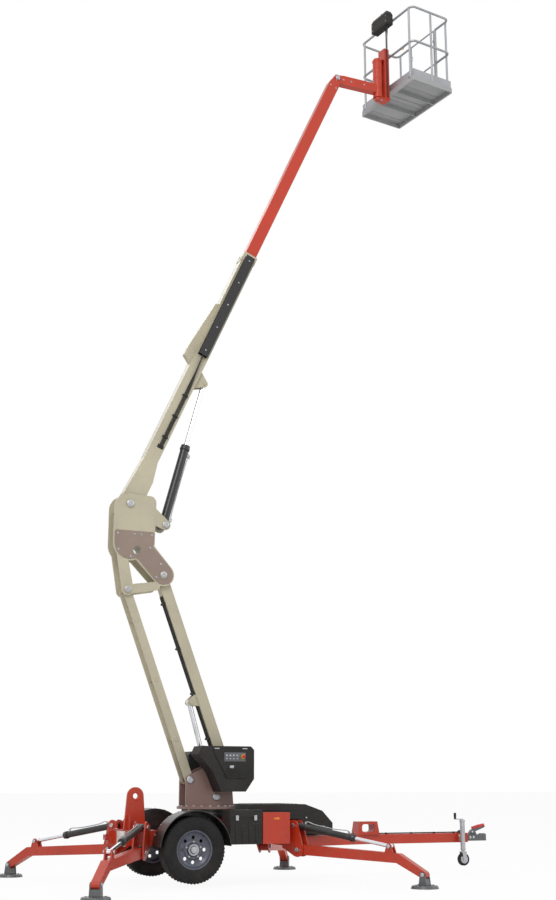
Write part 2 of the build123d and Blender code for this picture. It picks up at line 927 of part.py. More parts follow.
with BuildPart() as hydraulic_unit:
    with BuildSketch(side_plane(0, 0, upright_outer + box_depth)):
        with BuildLine():
            Polyline(
                (unit_rear, box_bottom + unit_edge),
                (unit_rear, unit_top - unit_edge),
                (unit_rear + unit_edge, unit_top),
                (box_front - unit_edge, unit_top),
                (box_front, unit_top - unit_edge),
                (box_front, box_bottom + unit_edge),
                (box_front - unit_edge, box_bottom),
                (unit_rear + unit_edge, box_bottom),
                close=True,
            )
        make_face()
    extrude(amount=box_depth)
finish(hydraulic_unit, "hydraulic_unit")

# Tower: lower arm in the middle, twin link outside it
arm_half = arm_width / 2
arm_end = arm_depth / 2 - 15
arm_plane = tilted_plane(*arm_pivot, arm_angle)
with BuildPart() as lower_arm:
    with BuildSketch(arm_plane):
        with Locations((arm_length / 2, 0)):
            Rectangle(arm_length + 2 * arm_end, arm_depth)
    extrude(amount=arm_half, both=True)
    with BuildSketch(arm_plane):
        with Locations((arm_length / 2, 0)):
            Rectangle(arm_length + 4 * arm_end, arm_depth - 2 * arm_wall)
    extrude(amount=arm_half - arm_wall, both=True, mode=Mode.SUBTRACT)
    for end in (0, arm_length):
        with BuildSketch(arm_plane):
            with Locations((end, 0)):
                Circle(48)
        extrude(amount=arm_half, both=True)
        with BuildSketch(arm_plane):
            with Locations((end, 0)):
                Circle(boss_radius)
        extrude(amount=upright_inner - side_play, both=True)
        with BuildSketch(arm_plane):
            with Locations((end, 0)):
                Circle(pin_radius + pin_play)
        extrude(amount=upright_inner, both=True, mode=Mode.SUBTRACT)
    lug_ears(
        arm_plane,
        (tower_lug_along, tower_lug_offset),
        (tower_lug_along, arm_depth / 2 - 5),
        150,
        34,
        tower_rod_radius,
    )
finish(lower_arm, "lower_arm")

link_plane = tilted_plane(*link_pivot, arm_angle)
with BuildPart() as tower_link:
    for side in (-1, 1):
        start = link_inner if side > 0 else -link_inner - link_bar
        with BuildSketch(link_plane.offset(start)):
            with Locations((arm_length / 2, 0)):
                SlotCenterToCenter(arm_length, link_depth)
            with Locations((0, 0), (arm_length, 0)):
                Circle(pin_radius + pin_play, mode=Mode.SUBTRACT)
        extrude(amount=link_bar)
    for tube_at in link_tubes_along:
        with BuildSketch(link_plane):
            with Locations((tube_at, 0)):
                Circle(link_tube_radius)
        extrude(amount=link_inner, both=True)
finish(tower_link, "tower_link")

tower_lug = along(arm_pivot, arm_angle, tower_lug_along, tower_lug_offset)
tower_cylinder = turned(side_plane(), tower_cylinder_base, tower_lug)
tower_cylinder_length = hypot(
    tower_lug[0] - tower_cylinder_base[0], tower_lug[1] - tower_cylinder_base[1]
)
barrel = cylinder_barrel(
    tower_cylinder,
    tower_barrel_length,
    tower_barrel_radius,
    tower_rod_radius,
    42,
    40,
    tower_base_pin,
)
finish(barrel, "tower_barrel")
rod = cylinder_rod(
    tower_cylinder, tower_barrel_length - 70, tower_cylinder_length, tower_rod_radius, 32
)
finish(rod, "tower_rod")

# Knuckle: two plates, their pins and a cross tube
link_top = along(link_pivot, arm_angle, arm_length)
arm_top = along(arm_pivot, arm_angle, arm_length)
boom_pivot = (link_top[0] + boom_pivot_from_link[0], link_top[1] + boom_pivot_from_link[1])
boom_cylinder_base = (
    link_top[0] + boom_cylinder_from_link[0],
    link_top[1] + boom_cylinder_from_link[1],
)
knuckle_tube = (
    link_top[0] + knuckle_tube_from_link[0],
    link_top[1] + knuckle_tube_from_link[1],
)
arm_top_from_link = (arm_pivot[0] - link_pivot[0], arm_pivot[1] - link_pivot[1])
knuckle_shapes = [
    # circles of each flat shape: x and z from the link's upper pin, radius
    [(-18, 956, 170), (242, 1036, 80), (12, 536, 200), (192, 506, 120)],
    [(182, 456, 140), (*arm_top_from_link, 130)],
    [(-88, 456, 60), (0, 0, 70)],
    [(0, 0, 55), (342, 56, 50)],
    [(242, 906, 100), (*boom_cylinder_from_link, 60)],
]
with BuildPart() as knuckle:
    for side in (-1, 1):
        for circles in knuckle_shapes:
            with BuildSketch(side_plane(*link_top, side * (upright_inner + plate_sheet / 2))):
                for x, z, radius in circles:
                    with Locations((x, z)):
                        Circle(radius)
                make_hull()
            extrude(amount=plate_sheet / 2, both=True)
    with BuildSketch(side_plane()):
        with Locations(knuckle_tube):
            Circle(knuckle_tube_radius)
    extrude(amount=upright_inner, both=True)
    for at, radius in (
        (link_top, pin_radius),
        (arm_top, pin_radius),
        (boom_pivot, boom_pin_radius),
        (boom_cylinder_base, pin_radius),
    ):
        with BuildSketch(side_plane()):
            with Locations(at):
                Circle(radius)
        extrude(amount=upright_outer + washer_sheet, both=True)
        for washer_y in (-upright_outer, upright_outer + washer_sheet):
            with BuildSketch(side_plane(0, 0, washer_y)):
                with Locations(at):
                    Circle(radius + washer_reach)
            extrude(amount=washer_sheet)
    with BuildSketch(side_plane()):
        with Locations(knuckle_tube):
            Circle(knuckle_tube_bore)
    extrude(amount=2 * upright_outer, both=True, mode=Mode.SUBTRACT)
finish(knuckle, "knuckle")

# Base boom with its lug and wear pads, fly boom inside it
boom_plane = tilted_plane(*boom_pivot, boom_angle)
boom_half = boom_width / 2
cavity_depth = boom_depth - 2 * boom_wall
cavity_width = boom_width - 2 * boom_wall
with BuildPart() as base_boom:
    with BuildSketch(boom_plane):
        with Locations(((boom_length - boom_tail) / 2, 0)):
            Rectangle(boom_length + boom_tail, boom_depth)
    extrude(amount=boom_half, both=True)
    with BuildSketch(boom_plane):
        with BuildLine():
            Polyline(
                (-boom_tail, -boom_depth / 2 - 10),
                (60, -cheek_depth),
                (cheek_length - 250, -cheek_depth),
                (cheek_length, -boom_depth / 2),
                (cheek_length, boom_depth / 2),
                (100, cheek_depth - 20),
                (-boom_tail, boom_depth / 2 + 10),
                close=True,
            )
        make_face()
    extrude(amount=boom_half, both=True)
    with BuildSketch(boom_plane):
        Circle(52)
    extrude(amount=upright_inner - side_play, both=True)
    with BuildSketch(boom_plane):
        Circle(boom_pin_radius + pin_play)
    extrude(amount=upright_inner, both=True, mode=Mode.SUBTRACT)
    lug_ears(
        boom_plane,
        (boom_lug_along, -boom_lug_below),
        (boom_lug_along, -boom_depth / 2 + 5),
        240,
        42,
        boom_rod_radius,
    )
    with BuildSketch(boom_plane):
        with BuildLine():
            Polyline(
                (fairing_start, boom_depth / 2),
                (fairing_start + 70, fairing_height),
                (fairing_start + 190, fairing_height),
                (fairing_end - 20, boom_depth / 2 + 38),
                (fairing_end, boom_depth / 2),
                close=True,
            )
        make_face()
    extrude(amount=fairing_half, both=True)
    with BuildSketch(boom_plane):
        with Locations(((boom_length + 90) / 2 + 5, 0)):
            Rectangle(boom_length - 80, cavity_depth)
    extrude(amount=cavity_width / 2, both=True, mode=Mode.SUBTRACT)
    with BuildSketch(boom_plane):
        with Locations((boom_length - wear_pad_length / 2, 0)):
            Rectangle(wear_pad_length, boom_depth)
    extrude(amount=boom_half, both=True)
    with BuildSketch(boom_plane):
        with Locations((boom_length - wear_pad_length / 2, 0)):
            Rectangle(wear_pad_length + 20, fly_depth + 2 * fit_gap)
    extrude(amount=fly_width / 2 + fit_gap, both=True, mode=Mode.SUBTRACT)
finish(base_boom, "base_boom")

fly_half = fly_width / 2
fly_start = boom_length - fly_overlap
fly_end = fly_pivot_along - fly_end_gap
with BuildPart() as fly_boom:
    with BuildSketch(boom_plane):
        with Locations(((fly_start + fly_end) / 2, 0)):
            Rectangle(fly_end - fly_start, fly_depth)
    extrude(amount=fly_half, both=True)
    with BuildSketch(boom_plane):
        with Locations((fly_start + 40, 0)):
            Rectangle(80, cavity_depth - 2 * fit_gap)
    extrude(amount=cavity_width / 2 - fit_gap, both=True)
    with BuildSketch(boom_plane):
        with Locations(((fly_start + fly_end) / 2 - 20, 0)):
            Rectangle(fly_end - fly_start, fly_depth - 2 * fly_wall)
    extrude(amount=fly_half - fly_wall, both=True, mode=Mode.SUBTRACT)
    for side in (-1, 1):
        start = fly_half - tip_sheet if side > 0 else -fly_half
        with BuildSketch(boom_plane.offset(start)):
            with Locations((fly_pivot_along, 0)):
                Circle(50)
            with Locations((fly_end - 20, 0)):
                Rectangle(40, fly_depth)
            make_hull()
        extrude(amount=tip_sheet)
    with BuildSketch(boom_plane):
        with Locations((fly_pivot_along, 0)):
            Circle(pin_radius)
    extrude(amount=fly_half + 10, both=True)
finish(fly_boom, "fly_boom")

boom_lug = along(boom_pivot, boom_angle, boom_lug_along, -boom_lug_below)
boom_cylinder = turned(side_plane(), boom_cylinder_base, boom_lug)
boom_cylinder_length = hypot(
    boom_lug[0] - boom_cylinder_base[0], boom_lug[1] - boom_cylinder_base[1]
)
barrel = cylinder_barrel(
    boom_cylinder, boom_barrel_length, boom_barrel_radius, boom_rod_radius, 48, 45, pin_radius
)
finish(barrel, "boom_barrel")
rod = cylinder_rod(
    boom_cylinder, boom_barrel_length - 150, boom_cylinder_length, boom_rod_radius, 38
)
finish(rod, "boom_rod")

with BuildPart() as hose_tray:
    with BuildSketch(boom_plane.offset(boom_half)):
        with Locations(((tray_start + tray_end) / 2, 0)):
            Rectangle(tray_end - tray_start, tray_depth)
    extrude(amount=tray_width)
    with BuildSketch(boom_plane.offset(boom_half + tray_sheet)):
        with Locations(((tray_start + tray_end) / 2, tray_sheet)):
            Rectangle(tray_end - tray_start + 20, tray_depth - tray_sheet)
    extrude(amount=tray_width - 2 * tray_sheet, mode=Mode.SUBTRACT)
finish(hose_tray, "hose_tray")

# Platform support on the fly, and the platform that turns on it
fly_tip = along(boom_pivot, boom_angle, fly_pivot_along)
mast_x = fly_tip[0] + mast_from_fly
deck_z = fly_tip[1] - deck_below_tip
sleeve_bottom = fly_tip[1] - sleeve_below_tip
sleeve_top = fly_tip[1] + sleeve_above_tip
mast_top = fly_tip[1] + mast_above_tip
with BuildPart() as platform_support:
    with BuildSketch(side_plane(*fly_tip)):
        Circle(support_end_radius)
        with Locations(((support_taper + mast_from_fly) / 2, 0)):
            Rectangle(mast_from_fly - support_taper, support_depth)
        make_hull()
    extrude(amount=fly_half - tip_sheet - side_play, both=True)
    with BuildSketch(level_plane(sleeve_bottom, mast_x)):
        Circle(sleeve_radius)
    extrude(amount=sleeve_top - sleeve_bottom)
    with BuildSketch(side_plane(*fly_tip)):
        Circle(pin_radius + pin_play)
    extrude(amount=fly_width, both=True, mode=Mode.SUBTRACT)
    with BuildSketch(level_plane(sleeve_bottom, mast_x)):
        Circle(pin_radius + pin_play)
    extrude(amount=sleeve_top - sleeve_bottom, mode=Mode.SUBTRACT)
finish(platform_support, "platform_support")


def basket_plane(z, x=0, y=0):
    # Level plane turned with the platform about the mast, local x away from the mast
    turn = radians(platform_yaw)
    origin = (
        swing_x + mast_x + x * cos(turn) - y * sin(turn),
        x * sin(turn) + y * cos(turn),
        z,
    )
    return Plane(origin=origin, x_dir=(cos(turn), sin(turn), 0), z_dir=(0, 0, 1))


def tube(start, end, radius):
    # Round bar between two points given in the platform's own axes
    first = basket_plane(start[2], start[0], start[1]).origin
    last = basket_plane(end[2], end[0], end[1]).origin
    with BuildSketch(Plane(origin=first, z_dir=last - first)) as section:
        Circle(radius)
    extrude(section.sketch, amount=(last - first).length)


floor_near = mast_offset + mast_depth
floor_far = floor_near + platform_depth
mast_bottom = sleeve_bottom - side_play - plate_sheet
with BuildPart() as platform_mast:
    with BuildSketch(basket_plane(mast_bottom, mast_offset + mast_depth / 2)):
        Rectangle(mast_depth, mast_width)
    extrude(amount=mast_top - mast_bottom)
    for level in (mast_bottom, sleeve_top + side_play):
        with BuildSketch(basket_plane(level)):
            Circle(sleeve_radius - 10)
            with Locations((mast_offset, 0)):
                Rectangle(40, mast_width)
            make_hull()
        extrude(amount=plate_sheet)
    with BuildSketch(basket_plane(sleeve_bottom - side_play)):
        Circle(pin_radius)
    extrude(amount=sleeve_top - sleeve_bottom + 2 * side_play)
finish(platform_mast, "platform_mast")

floor_bottom = deck_z - floor_tray_depth
floor_middle = (floor_near + floor_far) / 2
with BuildPart() as platform_floor:
    with BuildSketch(basket_plane(floor_bottom, floor_middle)):
        RectangleRounded(platform_depth, platform_width, floor_rim)
    extrude(amount=floor_tray_depth)
    for bay in (-1, 0, 1):
        bay_width = platform_width / 3 - 20
        bay_y = bay * platform_width / 3.05
        with BuildSketch(basket_plane(floor_bottom, floor_middle, bay_y)):
            Rectangle(platform_depth - 2 * floor_rim, bay_width)
        extrude(amount=floor_tray_depth - floor_sheet, mode=Mode.SUBTRACT)
finish(platform_floor, "platform_floor")

post_radius = rail_tube_radius - 1
post_near = floor_near + rail_tube_radius + 1
post_far = floor_far - rail_tube_radius - 1
post_side = platform_width / 2 - rail_tube_radius - 1
gate_post = gate_width / 2 + rail_tube_radius
rail_levels = (deck_z + rail_height - rail_tube_radius, deck_z + rail_height / 2)
hinge_y = -gate_width / 2 + hinge_radius + 6
hinge_levels = [deck_z + height for height in hinge_above_deck]
post_places = [
    # x away from the mast, y across
    (post_near, post_side - rail_bend),
    (post_near, 0),
    (post_near, rail_bend - post_side),
    (post_far, post_side - rail_bend),
    (post_far, rail_bend - post_side),
    (post_far, gate_post),
    (post_far, -gate_post),
    ((post_near + post_far) / 2, post_side),
    ((post_near + post_far) / 2, -post_side),
]
with BuildPart() as platform_rails:
    for level in rail_levels:
        with BuildLine(basket_plane(level)) as ring:
            FilletPolyline(
                (post_far, gate_post),
                (post_far, post_side),
                (post_near, post_side),
                (post_near, -post_side),
                (post_far, -post_side),
                (post_far, -gate_post),
                radius=rail_bend,
            )
        with BuildSketch(Plane(origin=ring.line @ 0, z_dir=ring.line % 0)):
            Circle(rail_tube_radius)
        sweep()
    for x, y in post_places:
        tube((x, y, deck_z), (x, y, rail_levels[0]), post_radius)
    for side in (-1, 1):
        with BuildSketch(basket_plane(deck_z, (post_near + post_far) / 2, side * post_side)):
            Rectangle(post_far - post_near, toe_sheet)
        extrude(amount=toe_height)
        with BuildSketch(basket_plane(deck_z, post_far, side * (post_side + gate_post) / 2)):
            Rectangle(toe_sheet, post_side - gate_post)
        extrude(amount=toe_height)
    with BuildSketch(basket_plane(deck_z, post_near)):
        Rectangle(toe_sheet, 2 * post_side)
    extrude(amount=toe_height)
    for level in hinge_levels:
        with BuildSketch(basket_plane(level, post_far, hinge_y)):
            Circle(hinge_radius + hinge_collar)
            with Locations((0, -gate_post - hinge_y)):
                Rectangle(20, 10)
            make_hull()
            Circle(hinge_radius + pin_play, mode=Mode.SUBTRACT)
        extrude(amount=hinge_height)
finish(platform_rails, "platform_rails")

gate_far = gate_width / 2 - hinge_radius - 6
with BuildPart() as platform_gate:
    for y in (hinge_y, gate_far):
        gate_foot = (post_far, y, deck_z + gate_above_deck)
        tube(gate_foot, (post_far, y, rail_levels[0]), hinge_radius)
    for level in (*rail_levels, deck_z + 80):
        tube((post_far, hinge_y, level), (post_far, gate_far, level), hinge_radius - 1)
finish(platform_gate, "platform_gate")

console_x = post_near - rail_tube_radius - fit_gap - console_depth / 2
console_shoulder = deck_z + console_bottom + console_body
with BuildPart() as console:
    with BuildSketch(basket_plane(deck_z + console_bottom, console_x)):
        Rectangle(console_depth, console_width)
    extrude(amount=console_body)
    with BuildSketch(basket_plane(console_shoulder, console_x)):
        Rectangle(console_depth, console_width)
    extrude(amount=console_taper, taper=20)
    with BuildSketch(basket_plane(console_shoulder, console_x)):
        Circle(stick_radius)
    extrude(amount=deck_z + console_top - console_shoulder)
finish(console, "console")
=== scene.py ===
import json
from math import cos, pi, radians, sin

import bmesh
import bpy
from mathutils import Matrix, Vector


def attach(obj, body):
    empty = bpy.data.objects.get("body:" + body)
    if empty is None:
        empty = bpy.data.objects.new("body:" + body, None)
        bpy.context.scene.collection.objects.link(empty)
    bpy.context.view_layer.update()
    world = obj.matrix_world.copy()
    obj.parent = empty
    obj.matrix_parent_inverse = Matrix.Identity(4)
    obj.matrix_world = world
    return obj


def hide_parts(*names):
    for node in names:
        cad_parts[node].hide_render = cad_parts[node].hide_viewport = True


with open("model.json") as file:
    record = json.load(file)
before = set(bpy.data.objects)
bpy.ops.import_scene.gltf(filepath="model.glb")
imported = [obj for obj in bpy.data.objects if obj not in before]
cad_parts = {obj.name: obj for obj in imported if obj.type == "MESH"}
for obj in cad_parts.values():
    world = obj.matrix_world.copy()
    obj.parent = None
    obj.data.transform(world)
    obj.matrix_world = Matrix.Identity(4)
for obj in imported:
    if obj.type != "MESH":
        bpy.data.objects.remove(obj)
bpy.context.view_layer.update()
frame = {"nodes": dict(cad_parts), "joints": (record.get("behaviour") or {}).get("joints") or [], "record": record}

pins = {joint["name"]: Vector(joint["pos_m"]) for joint in frame["joints"] if "pos_m" in joint}
slides = {joint["name"]: Vector(joint["axis"]) for joint in frame["joints"] if joint["type"] == "slide"}
corners = {"front_left": (1, 1), "front_right": (1, -1), "rear_left": (-1, 1), "rear_right": (-1, -1)}
ahead, leftward, upward = Vector((1, 0, 0)), Vector((0, 1, 0)), Vector((0, 0, 1))

# Camera at the photograph's place
camera = {
    "turn": 21.04, "distance": 15.36, "height": 1.06, "aimTurn": 3.07, "pitch": 14.52,
    "lens": 51.78, "aboutX": -0.895,
}


def placeCamera():
    data = bpy.data.cameras.new("camera")
    data.lens = camera["lens"]
    data.sensor_width = 36
    data.clip_end = 500
    lookOut = bpy.data.objects.new("camera", data)
    turn = radians(camera["turn"])
    lookOut.location = (
        camera["aboutX"] - sin(turn) * camera["distance"],
        -cos(turn) * camera["distance"],
        camera["height"],
    )
    heading = radians(camera["turn"] + camera["aimTurn"])
    lookOut.rotation_euler = (radians(90 + camera["pitch"]), 0, -heading)
    bpy.context.scene.collection.objects.link(lookOut)
    bpy.context.scene.camera = lookOut


placeCamera()
print("camera placed")


# Materials
class Wire:
    # a shader socket that can be added, multiplied and so on; node() adds any other node
    def __init__(self, tree, socket=None):
        self.tree = tree
        self.socket = socket

    def node(self, kind, settings=None, sockets=None, output=0):
        made = self.tree.nodes.new(kind)
        for name, value in (settings or {}).items():
            setattr(made, name, value)
        for name, value in (sockets or {}).items():
            if isinstance(value, Wire):
                self.tree.links.new(value.socket, made.inputs[name])
            else:
                made.inputs[name].default_value = value
        return Wire(self.tree, made.outputs[output])

    def maths(self, operation, first, second=0.0):
        return self.node("ShaderNodeMath", {"operation": operation}, {0: first, 1: second})

    def __add__(self, other):
        return self.maths("ADD", self, other)

    def __radd__(self, other):
        return self.maths("ADD", other, self)

    def __sub__(self, other):
        return self.maths("SUBTRACT", self, other)

    def __rsub__(self, other):
        return self.maths("SUBTRACT", other, self)

    def __mul__(self, other):
        return self.maths("MULTIPLY", self, other)

    def __rmul__(self, other):
        return self.maths("MULTIPLY", other, self)

    def between(self, low, high):
        # 0 at low or under, 1 at high or over
        ends = {"Value": self, "From Min": low, "From Max": high}
        return self.node("ShaderNodeMapRange", {"clamp": True}, ends)

    def tint(self, first, second):
        # from the first colour to the second as this goes from 0 to 1
        low, high = (shade if isinstance(shade, Wire) else (*shade, 1) for shade in (first, second))
        return self.node("ShaderNodeMix", {"data_type": "RGBA"}, {0: self, 6: low, 7: high}, output=2)

    def noise(self, scale, detail=3, rough=0.5, stretch=None):
        place = self.place()
        if stretch:
            place = self.node("ShaderNodeVectorMath", {"operation": "MULTIPLY"}, {0: place, 1: stretch})
        grain = {"Vector": place, "Scale": scale, "Detail": detail, "Roughness": rough}
        return self.node("ShaderNodeTexNoise", {}, grain)

    def place(self):
        return self.node("ShaderNodeTexCoord", output=3)

    def heightAt(self):
        return self.node("ShaderNodeSeparateXYZ", {}, {0: self.place()}, output=2)

    def edges(self, radius):
        # 1 where the surface turns within the radius
        soft = self.node("ShaderNodeBevel", {"samples": 4}, {"Radius": radius})
        flat = self.node("ShaderNodeNewGeometry", output=1)
        product = {"operation": "DOT_PRODUCT"}
        likeness = self.node("ShaderNodeVectorMath", product, {0: soft, 1: flat}, output=1)
        return (1 - likeness).between(0.02, 0.2)

    def bump(self, height, strength, distance):
        return self.node("ShaderNodeBump", {}, {"Height": height, "Strength": strength, "Distance": distance})


def shade(colour):
    # a colour as seen on the screen, 0 to 255, as the linear values that shaders use
    return tuple((part / 255) ** 2.2 for part in colour)


def material(name, varied, **fixed):
    made = bpy.data.materials.new(name)
    made.use_nodes = True
    tree = made.node_tree
    shader = tree.nodes["Principled BSDF"]
    for socket, value in fixed.items():
        shader.inputs[socket.replace("_", " ")].default_value = value
    for socket, wire in varied(Wire(tree)).items():
        tree.links.new(wire.socket, shader.inputs[socket])
    return made


paints = {
    # screen colour, edge wear, dust
    "orange": {"colour": (188, 54, 28), "bare": (88, 46, 34), "wear": 0.5, "dust": 0.3},
    "umber": {"colour": (140, 112, 104), "bare": (90, 74, 70), "wear": 0.5, "dust": 0.3},
    "taupe": {"colour": (142, 124, 113), "bare": (100, 88, 80), "wear": 0.5, "dust": 0.3},
    "cream": {"colour": (186, 178, 154), "bare": (120, 110, 92), "wear": 0.45, "dust": 0.3},
    "black": {"colour": (30, 29, 30), "bare": (110, 108, 105), "wear": 0.5, "dust": 0.3},
    "grey": {"colour": (92, 94, 97), "bare": (170, 170, 168), "wear": 0.5, "dust": 0.3},
    "deck": {"colour": (158, 159, 160), "bare": (185, 185, 184), "wear": 0.5, "dust": 0.2},
    "rim": {"colour": (84, 88, 102), "bare": (190, 192, 196), "wear": 0.4, "dust": 0.4},
}


def paint(name):
    finish = paints[name]
    colour = shade(finish["colour"])

    def varied(start):
        cloud = start.noise(2.2, 4)
        grime = start.noise(14, 8, 0.65).between(0.5, 0.78)
        low = 1 - start.heightAt().between(0.15, 1.2)
        streaks = start.noise(5, 5, 0.6, (3, 3, 0.25)).between(0.56, 0.8)
        chips = (start.noise(70, 4, 0.7).between(0.45, 0.6) * start.edges(0.004)) * finish["wear"]
        dark, light = [part * 0.9 for part in colour], [min(1, part * 1.06) for part in colour]
        face = cloud.between(0.3, 0.7).tint(dark, light)
        dusty = (grime * (0.25 + 0.75 * low) + 0.25 * streaks) * finish["dust"]
        face = dusty.tint(face, shade((120, 108, 92)))
        face = chips.tint(face, shade(finish["bare"]))
        rough = 0.34 + 0.12 * cloud + 0.3 * dusty + 0.2 * chips
        peel = start.noise(240, 2) + 0.4 * start.noise(35, 2) - 0.8 * chips
        return {"Base Color": face, "Roughness": rough, "Normal": start.bump(peel, 0.12, 0.0006)}

    return material(name + "Paint", varied, Coat_Weight=0.25, Coat_Roughness=0.15)


def moulded():
    def varied(start):
        grain = start.noise(520, 3, 0.6)
        cloud = start.noise(4, 5)
        scuffs = start.noise(11, 9, 0.75, (1, 1, 3)).between(0.58, 0.74)
        face = cloud.between(0.3, 0.7).tint(shade((30, 29, 28)), shade((42, 40, 38)))
        face = (scuffs * 0.3).tint(face, shade((120, 117, 110)))
        rough = 0.5 + 0.2 * grain + 0.1 * scuffs
        return {"Base Color": face, "Roughness": rough, "Normal": start.bump(grain, 0.35, 0.0008)}

    return material("mouldedBlack", varied, Specular_IOR_Level=0.4)


def metal(name, colour, rough, stretch, metallic=1.0, marks=0.12):
    def varied(start):
        lines = start.noise(90, 6, 0.6, stretch)
        cloud = start.noise(5, 4)
        face = cloud.between(0.3, 0.7).tint(shade([part * 0.92 for part in colour]), shade(colour))
        return {
            "Base Color": face,
            "Roughness": rough + marks * lines + 0.08 * cloud,
            "Normal": start.bump(lines, 0.08, 0.0004),
        }

    return material(name, varied, Metallic=metallic)


def tyreRubber():
    def varied(start):
        dust = start.noise(9, 8, 0.7).between(0.42, 0.7)
        grain = start.noise(300, 4, 0.6)
        low = 1 - start.heightAt().between(0.0, 0.5)
        face = (dust * (0.2 + 0.3 * low)).tint(shade((18, 17, 19)), shade((66, 60, 54)))
        return {"Base Color": face, "Roughness": 0.72 + 0.2 * grain, "Normal": start.bump(grain, 0.3, 0.001)}

    return material("tyreRubber", varied)


def plainPlastic(name, colour, rough=0.3, glow=0.0):
    def varied(start):
        cloud = start.noise(30, 3)
        face = cloud.between(0.3, 0.7).tint(shade([part * 0.9 for part in colour]), shade(colour))
        peel = start.bump(start.noise(260, 2), 0.1, 0.0005)
        return {"Base Color": face, "Roughness": rough + 0.12 * cloud, "Normal": peel}

    return material(name, varied, Coat_Weight=glow)


def ribbedHose():
    def varied(start):
        cloud = start.noise(20, 4)
        weave = start.noise(420, 2)
        face = cloud.between(0.3, 0.7).tint(shade((26, 26, 27)), shade((46, 45, 44)))
        return {"Base Color": face, "Roughness": 0.5 + 0.2 * cloud, "Normal": start.bump(weave, 0.25, 0.0006)}

    return material("hoseRubber", varied)


def lampLens(name, colour):
    def varied(start):
        place = start.node("ShaderNodeSeparateXYZ", {}, {0: start.place()}, output=1)
        flutes = start.maths("SINE", place * (2 * pi / 0.006))
        deep = shade([part * 0.8 for part in colour])
        face = start.noise(40, 3).between(0.3, 0.7).tint(deep, shade(colour))
        rough = 0.12 + 0.08 * start.noise(50, 3)
        return {"Base Color": face, "Roughness": rough, "Normal": start.bump(flutes, 0.3, 0.0008)}

    return material(name, varied, Coat_Weight=0.6)


finishes = {
    **{name: paint(name) for name in paints},
    "moulded": moulded(),
    "zinc": metal("zincSteel", (188, 190, 194), 0.3, (1, 1, 1)),
    "chrome": metal("hardChrome", (232, 234, 238), 0.08, (1, 1, 6), marks=0.06),
    "aluminium": metal("railAluminium", (170, 172, 176), 0.36, (1, 1, 4), metallic=0.7),
    "tyre": tyreRubber(),
    "hose": ribbedHose(),
    "redLens": lampLens("redLens", (190, 18, 20)),
    "amberLens": lampLens("amberLens", (240, 130, 20)),
    "red": plainPlastic("redPlastic", (200, 24, 22), glow=0.4),
    "yellow": plainPlastic("yellowPlastic", (236, 190, 30), glow=0.3),
    "white": plainPlastic("whitePlate", (226, 226, 222), 0.35, glow=0.3),
}
slotFinish = {
    "orange_paint": "orange", "umber_paint": "umber", "cream_paint": "cream", "black_paint": "black",
    "black_plastic": "moulded", "cast_grey": "grey", "zinc": "zinc", "chrome_rod": "chrome",
    "aluminium_rails": "aluminium", "grey_deck": "deck", "rim_silver": "rim", "tyre": "tyre",
    "jack_rubber": "tyre", "red_lens": "redLens",
}
for part in frame["record"]["subparts"]:
    carried = frame["nodes"][part["node"]]
    carried.data.materials.clear()
    carried.data.materials.append(finishes[slotFinish[part["material_slot"]]])
print("materials made")


# Mesh building
def facing(at, out, up=upward):
    # a frame at a point: its z runs out of the surface, its y as near to up as it can
    normal = Vector(out).normalized()
    for guide in (Vector(up), ahead, leftward):
        across = guide.cross(normal)
        if across.length >= 0.001:
            break
    across.normalize()
    turned = Matrix((across, normal.cross(across), normal)).transposed()
    return Matrix.Translation(Vector(at)) @ turned.to_4x4()


